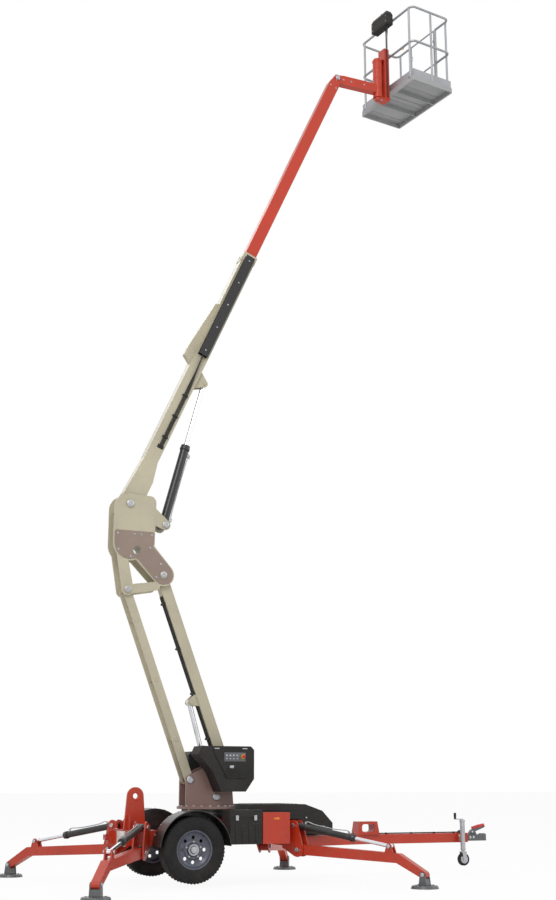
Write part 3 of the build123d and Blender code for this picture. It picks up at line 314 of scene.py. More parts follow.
class Shape:
    # gathers the parts of one piece in one mesh, in the row's metres
    def __init__(self):
        self.mesh = bmesh.new()

    def block(self, place, size, corner=0.0):
        # place is a frame, or the middle of a block that lies along the axes
        if not isinstance(place, Matrix):
            place = Matrix.Translation(place)
        made = bmesh.ops.create_cube(self.mesh, size=1, matrix=place @ Matrix.Diagonal((*size, 1)))
        if corner:
            around = list({edge for vertex in made["verts"] for edge in vertex.link_edges})
            bmesh.ops.bevel(self.mesh, geom=around, offset=corner, segments=2, affect="EDGES", profile=0.5)
        return self

    def bridge(self, lower, upper):
        # faces between two closed rings; a ring of one point makes triangles
        count = max(len(lower), len(upper))
        for step in range(count):
            after = (step + 1) % count
            around = (
                lower[step % len(lower)], lower[after % len(lower)],
                upper[after % len(upper)], upper[step % len(upper)],
            )
            face = list(dict.fromkeys(around))
            if len(face) > 2:
                self.mesh.faces.new(face)

    def lathe(self, at, out, profile, sides=32):
        # profile lists (height, radius) along the way out
        place = facing(at, out)
        turns = [2 * pi * step / sides for step in range(sides)]
        rings = []
        for height, radius in profile:
            around = turns if radius > 0 else turns[:1]
            spots = [Vector((radius * cos(a), radius * sin(a), height)) for a in around]
            rings.append([self.mesh.verts.new(place @ spot) for spot in spots])
        for lower, upper in zip(rings, rings[1:]):
            self.bridge(lower, upper)
        return self

    def rod(self, start, end, radius, sides=20):
        # round bar with broken edges
        run = Vector(end) - Vector(start)
        cut = radius * 0.12
        profile = [
            (0, 0), (0, radius - cut), (cut, radius),
            (run.length - cut, radius), (run.length, radius - cut), (run.length, 0),
        ]
        return self.lathe(start, run, profile, sides)

    def bolt(self, at, out, size=0.008):
        # washer, hexagon head and rounded top; size is the thread's radius
        washer = [(-0.001, size * 2.1), (size * 0.3, size * 2.1), (size * 0.35, size * 2.0), (size * 0.35, 0)]
        head = [
            (size * 0.3, size * 1.75), (size * 1.35, size * 1.75), (size * 1.6, size * 1.5), (size * 1.6, 0),
        ]
        return self.lathe(at, out, washer, 20).lathe(at, out, head, 6)

    def bolts(self, places, out, size=0.008):
        for at in places:
            self.bolt(at, out, size)
        return self

    def plate(self, place, outline, thick):
        # flat sheet with this outline, standing on the frame's face
        base, top = (
            [self.mesh.verts.new(place @ Vector((x, y, z))) for x, y in outline] for z in (0, thick)
        )
        self.mesh.faces.new(list(reversed(base)))
        self.mesh.faces.new(top)
        self.bridge(base, top)
        return self

    def pipe(self, points, radius, sides=12, smooth=8):
        # a bent tube through the points, its corners rounded by a Catmull-Rom line
        points = [Vector(point) for point in points]
        ends = [2 * points[0] - points[1], *points, 2 * points[-1] - points[-2]]
        line = []
        for a, b, c, d in zip(ends, ends[1:], ends[2:], ends[3:]):
            for step in range(smooth):
                t = step / smooth
                second, third = 2 * a - 5 * b + 4 * c - d, 3 * b - 3 * c + d - a
                line.append(0.5 * ((2 * b) + (c - a) * t + second * t**2 + third * t**3))
        line.append(points[-1])
        turns = [2 * pi * step / sides for step in range(sides)]
        rings = []
        side = (line[1] - line[0]).normalized().orthogonal().normalized()
        for step, point in enumerate(line):
            run = (line[min(step + 1, len(line) - 1)] - line[max(step - 1, 0)]).normalized()
            side = (side - run * side.dot(run)).normalized()
            other = run.cross(side)
            rings.append(
                [self.mesh.verts.new(point + radius * (side * cos(a) + other * sin(a))) for a in turns]
            )
        for lower, upper in zip(rings, rings[1:]):
            self.bridge(lower, upper)
        self.mesh.faces.new(list(reversed(rings[0])))
        self.mesh.faces.new(rings[-1])
        return self

    def put(self, name, body, finish, bevel=0.0, smooth=40, replaced=()):
        # turns what was gathered into an object that rides on the body
        bmesh.ops.recalc_face_normals(self.mesh, faces=self.mesh.faces)
        data = bpy.data.meshes.new(name)
        self.mesh.to_mesh(data)
        self.mesh.free()
        made = bpy.data.objects.new(name, data)
        bpy.context.scene.collection.objects.link(made)
        for polygon in data.polygons:
            polygon.use_smooth = True
        data.set_sharp_from_angle(angle=radians(smooth))
        if bevel:
            rounding = made.modifiers.new("rounding", "BEVEL")
            rounding.width = bevel
            rounding.segments = 2
            rounding.limit_method = "ANGLE"
            rounding.harden_normals = False
        data.materials.append(finishes[finish])
        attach(made, body)
        if replaced:
            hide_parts(*replaced)


def pointsAlong(start, end, shares, shift=(0, 0, 0)):
    # points at these shares of the way, all moved by the shift
    start, end, shift = Vector(start), Vector(end), Vector(shift)
    return [start.lerp(end, share) + shift for share in shares]


def ringOf(middle, out, radius, count, first=0.0):
    place = facing(middle, out)
    turns = [first + 2 * pi * step / count for step in range(count)]
    return [place @ Vector((radius * cos(a), radius * sin(a), 0)) for a in turns]


# Wheels
wheels = {
    "radius": 0.355, "halfWidth": 0.1075, "rimRadius": 0.2, "treadDepth": 0.009, "blocks": 56,
    "blockSteps": 3, "sweep": 0.35, "grooves": (0.14, 0.44), "grooveHalf": 0.025,
    "nuts": 5, "nutRing": 0.085, "discOut": 0.037, "lipOut": 0.0855, "valveRing": 0.17, "valveTurn": 0.9,
}


def tyreProfile():
    # (across, radius, tread share) from the inner bead round to the outer one
    width, radius, rim = wheels["halfWidth"], wheels["radius"], wheels["rimRadius"]
    side = [
        (-0.80, rim + 0.001), (-0.88, rim + 0.012), (-0.97, rim + 0.045), (-1.0, rim + 0.082),
        (-0.97, rim + 0.115), (-0.90, radius - 0.02),
    ]
    tread = [
        (-0.82, radius - 0.008), (-0.74, radius - 0.0035), (-0.46, radius - 0.001), (-0.42, radius - 0.001),
        (-0.16, radius), (-0.12, radius),
    ]
    half = [(x * width, r, 0) for x, r in side] + [(x * width, r, 1) for x, r in tread]
    return half + [(-x, r, share) for x, r, share in reversed(half)]


def tyre(name, middle):
    shape = Shape()
    steps = wheels["blocks"] * wheels["blockSteps"]
    rings = []
    for x, r, share in tyreProfile():
        ring = []
        across = abs(x) / wheels["halfWidth"]
        swept = wheels["sweep"] * x / wheels["halfWidth"] * 2 * pi / wheels["blocks"]
        inGroove = any(abs(across - groove) < wheels["grooveHalf"] for groove in wheels["grooves"])
        for step in range(steps):
            turn = 2 * pi * step / steps + swept
            slot = step % wheels["blockSteps"] == 0 and across > wheels["grooves"][0]
            reach = r - (wheels["treadDepth"] if share and (inGroove or slot) else 0)
            ring.append(shape.mesh.verts.new(middle + Vector((reach * cos(turn), x, reach * sin(turn)))))
        rings.append(ring)
    for lower, upper in zip(rings, rings[1:]):
        shape.bridge(lower, upper)
    shape.put(f"{name}TyreTread", f"wheel_{name}", "tyre", smooth=28, replaced=(f"tyre_{name}",))


def wheelTrim(name, side):
    body = f"wheel_{name}"
    middle = pins[f"wheel_{name}_spin"]
    out = Vector((0, side, 0))
    face = middle + out * wheels["discOut"]
    nuts = Shape()
    for at in ringOf(face + out * 0.003, out, wheels["nutRing"], wheels["nuts"], pi / 2):
        nuts.lathe(at, out, [(-0.004, 0.017), (0.004, 0.0135), (0.004, 0)], 24)
        nuts.lathe(at, out, [(0.002, 0.0125), (0.017, 0.0125), (0.0205, 0.009), (0.0205, 0)], 6)
    nuts.put(f"{name}WheelNuts", body, "zinc")
    cap = [
        (0.0, 0.064), (0.02, 0.0635), (0.026, 0.06), (0.0245, 0.046), (0.038, 0.042), (0.047, 0.034),
        (0.05, 0.0),
    ]
    Shape().lathe(face, out, cap, 48).put(f"{name}HubCap", body, "zinc")
    rim = wheels["rimRadius"]
    lip = [
        (-0.012, rim - 0.011), (-0.003, rim - 0.009), (0.002, rim - 0.002),
        (0.002, rim + 0.006), (-0.004, rim + 0.0085), (-0.008, rim + 0.002),
    ]
    dish = [(0.0005, 0.066), (0.009, 0.07), (0.013, 0.078), (0.013, 0.094), (0.006, 0.104), (0.0015, 0.107)]
    bowl = [(0.0006, 0.15), (0.004, 0.155), (0.009, 0.165), (0.02, 0.178), (0.034, 0.186), (0.046, 0.1905)]
    shape = Shape().lathe(middle + out * wheels["lipOut"], out, lip, 72)
    shape.lathe(face, out, dish, 72).lathe(face, out, bowl, 72).put(f"{name}RimDish", body, "rim")
    turn = wheels["valveTurn"]
    stem = middle + Vector((cos(turn), 0, sin(turn))) * wheels["valveRing"] + out * 0.046
    valve = Shape().rod(stem, stem + out * 0.03, 0.0045, 12)
    valve.rod(stem + out * 0.024, stem + out * 0.036, 0.0056, 12).put(f"{name}TyreValve", body, "hose")


for name, side in (("left", 1), ("right", -1)):
    tyre(name, pins[f"wheel_{name}_spin"])
    wheelTrim(name, side)
print("wheels made")

# Jack, coupler and drawbar
drawbar = {
    "end": 2.555, "halfWidth": 0.05, "middle": 0.435, "plateX": 0.125, "cableY": 0.03, "cableZ": 0.4985,
}
coupler = {"top": 0.47, "reach": 0.24}
jack = {"side": -0.125, "top": 0.65, "handleOut": 0.1}


def drawbarTrim():
    end, y, z = drawbar["end"], drawbar["cableY"], drawbar["cableZ"]
    bolts = Shape()
    for x in (end + 0.035, end + 0.085):
        for side in (-1, 1):
            bolts.bolt((x, side * (drawbar["halfWidth"] + 0.0005), drawbar["middle"]), (0, side, 0))
    bolts.bolts([(drawbar["plateX"] + 0.0005, across, 0.53) for across in (-0.3, -0.2, 0.2, 0.3)], ahead)
    bolts.put("drawbarBolts", "chassis", "zinc")
    route = [(drawbar["plateX"] + 0.005, 0.066, 0.51), (0.25, 0.064, 0.5), (0.5, 0.035, z)]
    route += [(x, y, z) for x in (1.0, 1.6, 2.1, 2.46)]
    Shape().pipe(route, 0.007).put("lampCable", "chassis", "hose")
    clips = Shape()
    for x in (0.62, 0.85, 1.45, 1.8, 2.12, 2.4):
        clips.block((x, y, 0.498), (0.02, 0.034, 0.018), 0.004).bolt((x, 0.009, 0.4905), upward, 0.003)
    clips.put("cableClips", "chassis", "moulded")
    profile = [
        (0.0, 0.0), (0.0, 0.012), (0.02, 0.013), (0.02, 0.0235), (0.06, 0.0235), (0.064, 0.021), (0.064, 0.0),
    ]
    socket = Shape().lathe((2.46, y, 0.5), ahead, profile)
    socket.block((2.47, y, 0.4965), (0.03, 0.04, 0.012), 0.003).put("lampPlugSocket", "chassis", "moulded")


def couplerTrim():
    end, top = drawbar["end"], coupler["top"]
    middle = Vector((end + coupler["reach"], 0, top))
    dome = [(-0.02, 0.0498), (-0.004, 0.0498), (0.006, 0.046), (0.011, 0.036), (0.0125, 0.0)]
    shape = Shape().lathe(middle, upward, dome, 40)
    for x in (-0.2, -0.16):
        shape.block(middle + Vector((x, 0, 0.002)), (0.01, 0.088, 0.012), 0.003)
    shape.put("couplerDome", "chassis", "grey")
    first, last = Vector((end + 0.1, 0, top + 0.072)), Vector((end + 0.268, 0, top + 0.108))
    grip = [first, first.lerp(last, 0.5) + Vector((0, 0, 0.004)), last]
    Shape().pipe(grip, 0.0215, 16).put("couplerGrip", "chassis", "red")
    latch = Shape()
    for side in (-1, 1):
        latch.bolt((end + 0.09, side * 0.0185, top + 0.03), (0, side, 0), 0.007)
    latch.put("couplerLatchPin", "chassis", "zinc")


def jackTrim():
    middle = pins["jack_swing"]
    top = Vector((middle.x, jack["side"], jack["top"]))
    upper = [(0, 0.0305), (0.002, 0.0335), (0.026, 0.0335), (0.031, 0.028), (0.031, 0.012)]
    lower = [(0, 0.0305), (0.001, 0.0325), (0.011, 0.0325), (0.012, 0.0305)]
    collars = Shape().lathe(top - upward * 0.03, upward, upper, 36)
    collars.lathe(top - upward * 0.36, upward, lower, 36).put("jackCollars", "jack", "zinc")
    grip = [
        (0, 0.0), (0, 0.0135), (0.004, 0.0155), (0.02, 0.0145), (0.045, 0.0165), (0.068, 0.015),
        (0.073, 0.009), (0.073, 0.0),
    ]
    hold = top + Vector((-jack["handleOut"], 0, 0.01))
    Shape().lathe(hold, upward, grip, 28).put("jackGrip", "jack", "moulded")
    disc = [(-0.001, 0.05), (0.0015, 0.048), (0.0015, 0.018), (0.0035, 0.015), (0.0035, 0.0085)]
    hub = Shape()
    for side in (-1, 1):
        hub.lathe(pins["jack_wheel_spin"] + leftward * (side * 0.0253), (0, side, 0), disc)
    hub.put("jackWheelDisc", "jack_wheel", "zinc")
    ring = [(0, 0.0405), (0.004, 0.0445), (0.018, 0.0445), (0.02, 0.0405)]
    collar = Shape().lathe((middle.x, -0.0685, middle.z), leftward, ring, 36)
    collar.put("jackSwivelCollar", "chassis", "zinc")


drawbarTrim()
couplerTrim()
jackTrim()
print("drawbar, coupler and jack made")

# Chassis
chassis = {
    "boxStart": -0.855, "boxEnd": -0.455, "boxOut": 0.62, "boxTop": 0.795, "wingOut": 0.6, "rear": -1.955,
    "coverSide": 0.3655, "fenderRadius": 0.4083, "bearingZ": 0.757, "bearingRadius": 0.2655,
}


def sideBoxTrim():
    ribs, latches, lamps = Shape(), Shape(), Shape()
    length = chassis["boxEnd"] - chassis["boxStart"]
    middle = (chassis["boxEnd"] + chassis["boxStart"]) / 2
    top = chassis["boxTop"]
    for side in (-1, 1):
        face = side * chassis["boxOut"]
        for z in (top - 0.075, top - 0.095):
            ribs.block((middle, face, z), (length - 0.05, 0.008, 0.006), 0.002)
        for offset in (-0.12, -0.04, 0.04, 0.12):
            ribs.block((middle + offset, face, 0.56), (0.022, 0.01, 0.22), 0.004)
        for x in (middle - 0.11, middle + 0.11):
            latches.block((x, face + side * 0.005, top - 0.085), (0.035, 0.012, 0.055), 0.003)
            y, z = face + side * 0.013, top - 0.068
            latches.rod((x - 0.014, y, z), (x + 0.014, y, z), 0.004, 12)
        lamps.block((-0.28, side * (chassis["wingOut"] + 0.001), 0.7), (0.07, 0.012, 0.026), 0.005)
    ribs.put("sideBoxRibs", "chassis", "moulded")
    latches.put("sideBoxLatches", "chassis", "zinc")
    lamps.put("sideMarkerLamps", "chassis", "amberLens")


def fenderTrim():
    middle = pins["wheel_left_spin"]
    bolts, edge = Shape(), Shape()

    def spot(turn, radius, y):
        return middle.x + radius * cos(turn), y, middle.z + radius * sin(turn)

    for side in (-1, 1):
        for step in range(9):
            turn = radians(22 + 17 * step)
            at = spot(turn, chassis["fenderRadius"], side * 0.57)
            bolts.bolt(at, (cos(turn), 0, sin(turn)), 0.004)
        line = [spot(radians(6 + 168 * step / 18), 0.4045, side * 0.8175) for step in range(19)]
        edge.pipe(line, 0.006, 10, 3)
    bolts.put("fenderBolts", "chassis", "zinc")
    edge.put("fenderBeading", "chassis", "black")


def coverTrim():
    screws, ribs, grille = Shape(), Shape(), Shape()
    face = chassis["coverSide"]
    for side in (-1, 1):
        for x, z in ((-0.5, 0.72), (-0.3, 0.72), (-0.06, 0.74), (0.2, 0.7), (0.42, 0.6)):
            screws.bolt((x, side * face, z), (0, side, 0), 0.005)
    screws.put("coverScrews", "chassis", "zinc")
    for y in (-0.24, -0.12, 0, 0.12, 0.24):
        ribs.block((-0.13, y, 0.8505), (0.54, 0.024, 0.008), 0.003)
    for side in (-1, 1):
        ribs.block((-0.15, side * face, 0.79), (0.6, 0.008, 0.014), 0.003)
    ribs.put("coverRibs", "chassis", "moulded")
    for row in range(9):
        grille.block((0.5352, 0, 0.535 + row * 0.012), (0.007, 0.46, 0.005), 0.002)
    grille.put("coverGrille", "chassis", "moulded")


def tailTrim():
    rear = chassis["rear"]
    plate, screws, reflectors = Shape(), Shape(), Shape()
    plate.block((rear + 0.057, 0, 0.49), (0.004, 0.3, 0.16), 0.0015)
    for side in (-1, 1):
        screws.bolts([(rear - 0.0362, side * 0.33, z) for z in (0.475, 0.515)], -ahead, 0.003)
        reflectors.block((rear - 0.0005, side * 0.33, 0.543), (0.008, 0.05, 0.014), 0.003)
    plate.put("blankRearPlate", "chassis", "white")
    screws.put("tailLampScrews", "chassis", "zinc")
    reflectors.put("rearReflectors", "chassis", "redLens")


def bearingTrim():
    middle = Vector((pins["swing"].x, 0, chassis["bearingZ"]))
    teeth = Shape()
    for at in ringOf(middle, upward, chassis["bearingRadius"], 88):
        teeth.block(facing(at, (at - middle).normalized()), (0.0095, 0.008, 0.012))
    teeth.put("swingGearTeeth", "chassis", "zinc")
    bolts = Shape().bolts(ringOf((middle.x, 0, 0.5855), upward, 0.29, 16), upward, 0.006)
    bolts.put("pedestalBolts", "chassis", "zinc")


rearPost = {"x": -1.745, "eyeHigh": 0.945, "eye": 0.031, "half": 0.015, "baseTop": 0.58, "length": 0.25}


def postTrim():
    x, z, eye = rearPost["x"], rearPost["baseTop"], rearPost["eye"]
    first, last = x - rearPost["length"] / 2, x + rearPost["length"] / 2
    ring = [(0, eye), (0.002, eye + 0.001), (0.006, eye + 0.008), (0.005, eye + 0.017), (0.0, eye + 0.021)]
    collars, welds, bolts = Shape(), Shape(), Shape()
    for face in (-1, 1):
        collars.lathe((x, face * (rearPost["half"] - 0.0002), rearPost["eyeHigh"]), (0, face, 0), ring, 40)
        y = face * (rearPost["half"] + 0.001)
        line = pointsAlong((first, y, z + 0.001), (last, y, z + 0.001), (0, 0.25, 0.5, 0.75, 1))
        welds.pipe(line, 0.0045, 8, 4)
        for at in (first + 0.02, last - 0.02):
            bolts.bolts([(at, face * reach, z) for reach in (0.3, 0.34)], upward, 0.006)
    collars.put("rearPostCollars", "chassis", "orange")
    welds.put("rearPostWelds", "chassis", "orange")
    bolts.put("rearPostBolts", "chassis", "zinc")


sideBoxTrim()
fenderTrim()
coverTrim()
tailTrim()
bearingTrim()
postTrim()
print("chassis made")

# Outriggers
outrigger = {
    "mount": (0.95, 0.5), "foot": (1.8, 1.8), "aboutX": -0.895, "pivot": (0, 0.36), "base": (-0.05, 0.62),
    "barrel": 0.77,
}


def outriggerTrim(name, alongX, alongY):
    mount, foot = (
        Vector((outrigger["aboutX"] + alongX * outrigger[end][0], alongY * outrigger[end][1], 0))
        for end in ("mount", "foot")
    )
    reach = (foot - mount).length
    out = (foot - mount).normalized()
    across = out.cross(upward)
    leg, barrel = f"outrigger_{name}", f"outrigger_barrel_{name}"
    run = slides[f"outrigger_rod_{name}_slide"]
    base = pins[f"{barrel}_turn"]

    def spot(x, z, y=0.0):
        return mount + out * x + upward * z + across * y

    cap = [(-0.002, 0.024), (0.004, 0.024), (0.0065, 0.0215), (0.0065, 0.008), (0.004, 0.0)]
    caps = Shape()
    for side in (-1, 1):
        for x, z in (outrigger["pivot"], outrigger["base"]):
            caps.lathe(spot(x, z, side * 0.077), across * side, cap, 28)
            caps.bolt(spot(x + 0.036, z - 0.004, side * 0.065), across * side, 0.004)
    caps.put(f"{name}MountPinCaps", "chassis", "zinc")
    washer = [(-0.002, 0.0215), (0.004, 0.0215), (0.006, 0.019), (0.006, 0.0)]
    washers = Shape()
    for side in (-1, 1):
        for x, z, high in ((reach, 0.14, 0.0575), (reach - 0.403, 0.42, 0.0518)):
            washers.lathe(spot(x, z, side * high), across * side, washer, 24)
    washers.put(f"{name}LegPins", leg, "zinc")
    ring = [(0.0315, 0.055), (0.0335, 0.072), (0.034, 0.11), (0.0332, 0.128), (0.0305, 0.1325)]
    pad = Shape().lathe(foot, upward, ring, 48)
    pad.bolts(ringOf(foot + upward * 0.0335, upward, 0.095, 6, 0.3), upward, 0.005)
    pad.put(f"{name}PadRing", leg, "grey")
    gland = [
        (0.0, 0.0412), (0.004, 0.0435), (0.028, 0.0435), (0.032, 0.0412), (0.05, 0.0412), (0.055, 0.038),
        (0.055, 0.0245), (0.06, 0.0235), (0.06, 0.0208),
    ]
    band = [(0.0, 0.0362), (0.003, 0.0395), (0.025, 0.0395), (0.028, 0.0362)]
    glands = Shape().lathe(base + run * (outrigger["barrel"] - 0.05), run, gland)
    glands.lathe(base + run * 0.05, run, band).put(f"{name}LegCylinderGland", barrel, "black")
    upSide = run.cross(across).normalized()
    if upSide.z < 0:
        upSide = -upSide
    ports = Shape()
    for share in (0.12, 0.69):
        at = base + run * share + upSide * 0.034
        ports.rod(at, at + upSide * 0.022, 0.011, 16)
        ports.lathe(at + upSide * 0.014, upSide, [(0, 0.0), (0, 0.014), (0.01, 0.014), (0.01, 0.0)], 6)
    route = ((0.69, 0.058), (0.65, 0.064), (0.5, 0.05), (0.25, 0.05), (0.16, 0.064), (0.12, 0.058))
    ports.pipe([base + run * share + upSide * high for share, high in route], 0.0055)
    ports.put(f"{name}LegCylinderPipe", barrel, "zinc")


for name, (alongX, alongY) in corners.items():
    outriggerTrim(name, alongX, alongY)
print("outriggers made")

# Turntable and its boxes
turntable = {"x": -0.895, "deckTop": 0.83, "upright": 0.115, "boxOut": 0.3655, "boxMiddle": -0.795}


def uprightTrim():
    cap = [(0, 0.042), (0.008, 0.042), (0.011, 0.038), (0.011, 0.012), (0.007, 0.0)]
    caps = Shape()
    for name in ("tower_link_turn", "tower_lift", "tower_barrel_turn"):
        for side in (-1, 1):
            face = pins[name] + Vector((0, side * (turntable["upright"] - 0.0005), 0))
            caps.lathe(face, (0, side, 0), cap, 36)
            caps.bolt(face + Vector((0.03, side * 0.01, 0)), (0, side, 0), 0.0045)
    caps.put("uprightPinCaps", "turntable", "zinc")
    places = ringOf((turntable["x"], 0, turntable["deckTop"]), upward, 0.305, 20, 0.1)
    Shape().bolts(places, upward, 0.007).put("turntableBolts", "turntable", "zinc")


def controlBoxTrim():
    face, middle, out = -turntable["boxOut"], turntable["boxMiddle"], -leftward
    lid = [
        (-0.19, 0.12), (0.26, 0.12), (0.285, 0.095), (0.285, -0.1), (0.2, -0.2), (-0.01, -0.2), (-0.15, 0.04),
    ]
    panel = Shape().plate(facing((middle + 0.02, face, 1.335), out), lid, 0.008)
    panel.put("controlBoxLid", "turntable", "moulded", bevel=0.004)
    slats = Shape()
    for row in range(6):
        spot = (middle + 0.08, face - 0.009, 1.16 + row * 0.018)
        slats.block(spot, (0.2 - 0.01 * row, 0.008, 0.007), 0.002)
    slats.put("controlBoxLouvres", "turntable", "moulded")
    screen = Shape().block((middle + 0.1, face - 0.009, 1.37), (0.26, 0.006, 0.1), 0.004)
    screen.put("groundPanel", "turntable", "grey")
    at = Vector((middle + 0.2, face - 0.012, 1.375))
    stop = [(0, 0.011), (0.012, 0.011), (0.014, 0.019), (0.022, 0.02), (0.028, 0.016), (0.03, 0.0)]
    Shape().lathe(at, out, stop).put("groundStopButton", "turntable", "red")
    collar = [(0, 0.026), (0.004, 0.026), (0.005, 0.012)]
    Shape().lathe(at, out, collar).put("groundStopCollar", "turntable", "yellow")
    switch = [(0, 0.011), (0.004, 0.011), (0.006, 0.008), (0.007, 0.0045), (0.022, 0.003), (0.024, 0.0)]
    button = [(0, 0.009), (0.004, 0.009), (0.006, 0.007), (0.006, 0.0)]
    keys = Shape()
    for step in range(4):
        spot = Vector((middle + step * 0.042, face - 0.012, 1.385))
        keys.lathe(spot, out, switch, 20).lathe(spot - upward * 0.035, out, button, 20)
    keys.put("groundPanelSwitches", "turntable", "zinc")
    hinges = Shape()
    for x in (middle - 0.12, middle + 0.22):
        hinges.rod((x - 0.03, face - 0.006, 1.462), (x + 0.03, face - 0.006, 1.462), 0.008, 16)
    hinges.block((middle + 0.06, face - 0.012, 1.262), (0.05, 0.014, 0.03), 0.004)
    hinges.put("controlBoxHinges", "turntable", "zinc")


def hydraulicTrim():
    face, middle = turntable["boxOut"], turntable["boxMiddle"]
    ribs = Shape()
    for row in range(10):
        ribs.block((middle + 0.03, face + 0.002, 1.08 + row * 0.026), (0.36, 0.009, 0.01), 0.003)
    ribs.put("hydraulicUnitLouvres", "turntable", "moulded")
    cap = [(0, 0.03), (0.012, 0.03), (0.012, 0.036), (0.03, 0.036), (0.035, 0.031), (0.035, 0.0)]
    filler = Shape().lathe((middle - 0.12, 0.24, 1.4395), upward, cap, 28)
    filler.put("oilFillerCap", "turntable", "moulded")
    latches = Shape()
    for x in (middle - 0.18, middle + 0.24):
        latches.block((x, face + 0.004, 1.375), (0.03, 0.01, 0.05), 0.003)
        latches.rod((x - 0.012, face + 0.011, 1.39), (x + 0.012, face + 0.011, 1.39), 0.0035, 12)
    latches.put("hydraulicUnitLatches", "turntable", "zinc")


def turntableHoses():
    middle = turntable["x"]
    hoses = Shape()
    for step in range(3):
        y = 0.02 + step * 0.022
        route = [
            (0.262, y, 0.838), (0.258, y, 0.9), (0.235, y + 0.004, 0.96), (0.2, y + 0.01, 1.0),
            (0.17, 0.094, 1.02 + step * 0.02),
        ]
        hoses.pipe([(middle + x, across, z) for x, across, z in route], 0.008)
    hoses.put("turntableHoses", "turntable", "hose")
    places = [(middle + 0.283, y, z) for y in (-0.07, 0.07) for z in (0.9, 0.98)]
    Shape().bolts(places, ahead, 0.006).put("crossPlateBolts", "turntable", "zinc")


uprightTrim()
controlBoxTrim()
hydraulicTrim()
turntableHoses()
print("turntable made")

# Tower and knuckle
tower = {
    "linkOut": 0.086, "tubeShares": (0.2115, 0.5242, 0.837), "armHalf": 0.06, "armDeep": 0.0625,
    "knuckleOut": 0.127, "tubeFromLink": (0.105, 0, 0.46), "guardX": -0.895, "guardHole": 0.054,
    "guardFront": (
        (-0.9374, 3.93), (-0.752, 3.93), (-0.738, 3.915), (-0.742, 3.79), (-0.753, 3.765), (-0.532, 3.525),
        (-0.505, 3.48), (-0.497, 3.43), (-0.51, 3.378), (-0.55, 3.335), (-0.612, 3.32), (-0.665, 3.33),
        (-0.705, 3.358), (-0.93, 3.6), (-0.9374, 3.602),
    ),
    "guardRear": (
        (-0.9374, 3.602), (-0.96, 3.608), (-1.03, 3.593), (-1.1, 3.606), (-1.16, 3.64), (-1.2, 3.7),
        (-1.218, 3.77), (-1.217, 3.912), (-1.2, 3.93), (-0.9374, 3.93),
    ),
    "guardBolts": (
        (-1.18, 3.89), (-0.98, 3.89), (-0.895, 3.89), (-0.77, 3.89), (-1.17, 3.7), (-1.02, 3.625),
        (-0.785, 3.74), (-0.7, 3.4), (-0.65, 3.56),
    ),
}
linkFoot = pins["tower_link_turn"]
linkHead = linkFoot + (pins["knuckle_level"] - pins["tower_lift"])


def towerTrim():
    lean = (linkHead - linkFoot).normalized()
    square = lean.cross(leftward).normalized()
    cap = [(0, 0.032), (0.003, 0.031), (0.005, 0.028), (0.005, 0.019), (0.002, 0.017), (0.002, 0.0)]
    nipple = [(0, 0.0), (0, 0.006), (0.004, 0.006), (0.004, 0.003), (0.009, 0.0035), (0.0095, 0.0)]
    caps, grease = Shape(), Shape()
    for side in (-1, 1):
        shift = (0, side * (tower["linkOut"] - 0.0005), 0)
        for at in pointsAlong(linkFoot, linkHead, tower["tubeShares"], shift):
            caps.lathe(at, (0, side, 0), cap)
    caps.put("linkTubeCaps", "tower_link", "cream")
    for at in (linkFoot + lean * 0.05, linkHead - lean * 0.05):
        for side in (-1, 1):
            grease.lathe(at + leftward * (side * tower["linkOut"]), (0, side, 0), nipple, 10)
    grease.put("linkGreaseNipples", "tower_link", "zinc")
    start, end, deep = pins["tower_lift"], pins["knuckle_level"], tower["armDeep"]
    hoses, clamps, seams = Shape(), Shape(), Shape()
    for y in (-0.03, 0, 0.03):
        shift = square * (deep + 0.01) + leftward * y
        hoses.pipe(pointsAlong(start, end, (0.1, 0.3, 0.5, 0.7, 0.9), shift), 0.0085, 10, 4)
    hoses.put("armHoses", "lower_arm", "hose")
    for at in pointsAlong(start, end, (0.14, 0.38, 0.62, 0.86), square * (deep + 0.0115)):
        clamps.block(facing(at, square, lean), (0.108, 0.03, 0.024), 0.005)
        clamps.bolts([at + square * 0.0115 + leftward * y for y in (-0.047, 0.047)], square, 0.004)
    clamps.put("armHoseClamps", "lower_arm", "moulded")
    for side in (-1, 1):
        for edge in (-1, 1):
            shift = square * edge * (deep - 0.0015) + leftward * (side * (tower["armHalf"] - 0.0005))
            seams.pipe(pointsAlong(start, end, (0.02, 0.25, 0.5, 0.75, 0.98), shift), 0.003, 6, 4)
    seams.put("armWeldSeams", "lower_arm", "cream")


def cylinderTrim(name, joint, body, length, radius):
    base, run = pins[f"{body}_turn"], slides[joint]
    across = leftward.cross(run)
    gland = [
        (0.0, radius + 0.0052), (0.005, radius + 0.008), (0.035, radius + 0.008), (0.04, radius + 0.0052),
        (0.06, radius + 0.0052), (0.066, radius), (0.066, radius * 0.62), (0.072, radius * 0.6),
        (0.072, radius * 0.56),
    ]
    band = [(0.0, radius + 0.0002), (0.004, radius + 0.004), (0.03, radius + 0.004), (0.034, radius + 0.0002)]
    glands = Shape().lathe(base + run * (length - 0.06), run, gland, 40)
    glands.lathe(base + run * 0.06, run, band, 40).put(f"{name}Gland", body, "black")
    low, high = base + run * (length * 0.09), base + run * (length * 0.9)
    pipes = Shape()
    for end in (low, high):
        at = end + across * (radius - 0.003)
        pipes.block(facing(at + across * 0.012, across, run), (0.034, 0.05, 0.026), 0.004)
        pipes.lathe(at + across * 0.024, across, [(0, 0.0), (0, 0.013), (0.012, 0.013), (0.012, 0.0)], 6)
    lift, near = across * (radius + 0.034), across * (radius + 0.012)
    route = [
        high + lift, high - run * 0.03 + lift, high - run * 0.1 + near,
        low + run * 0.1 + near, low + run * 0.03 + lift, low + lift,
    ]
    pipes.pipe(route, 0.006).put(f"{name}Pipes", body, "zinc")


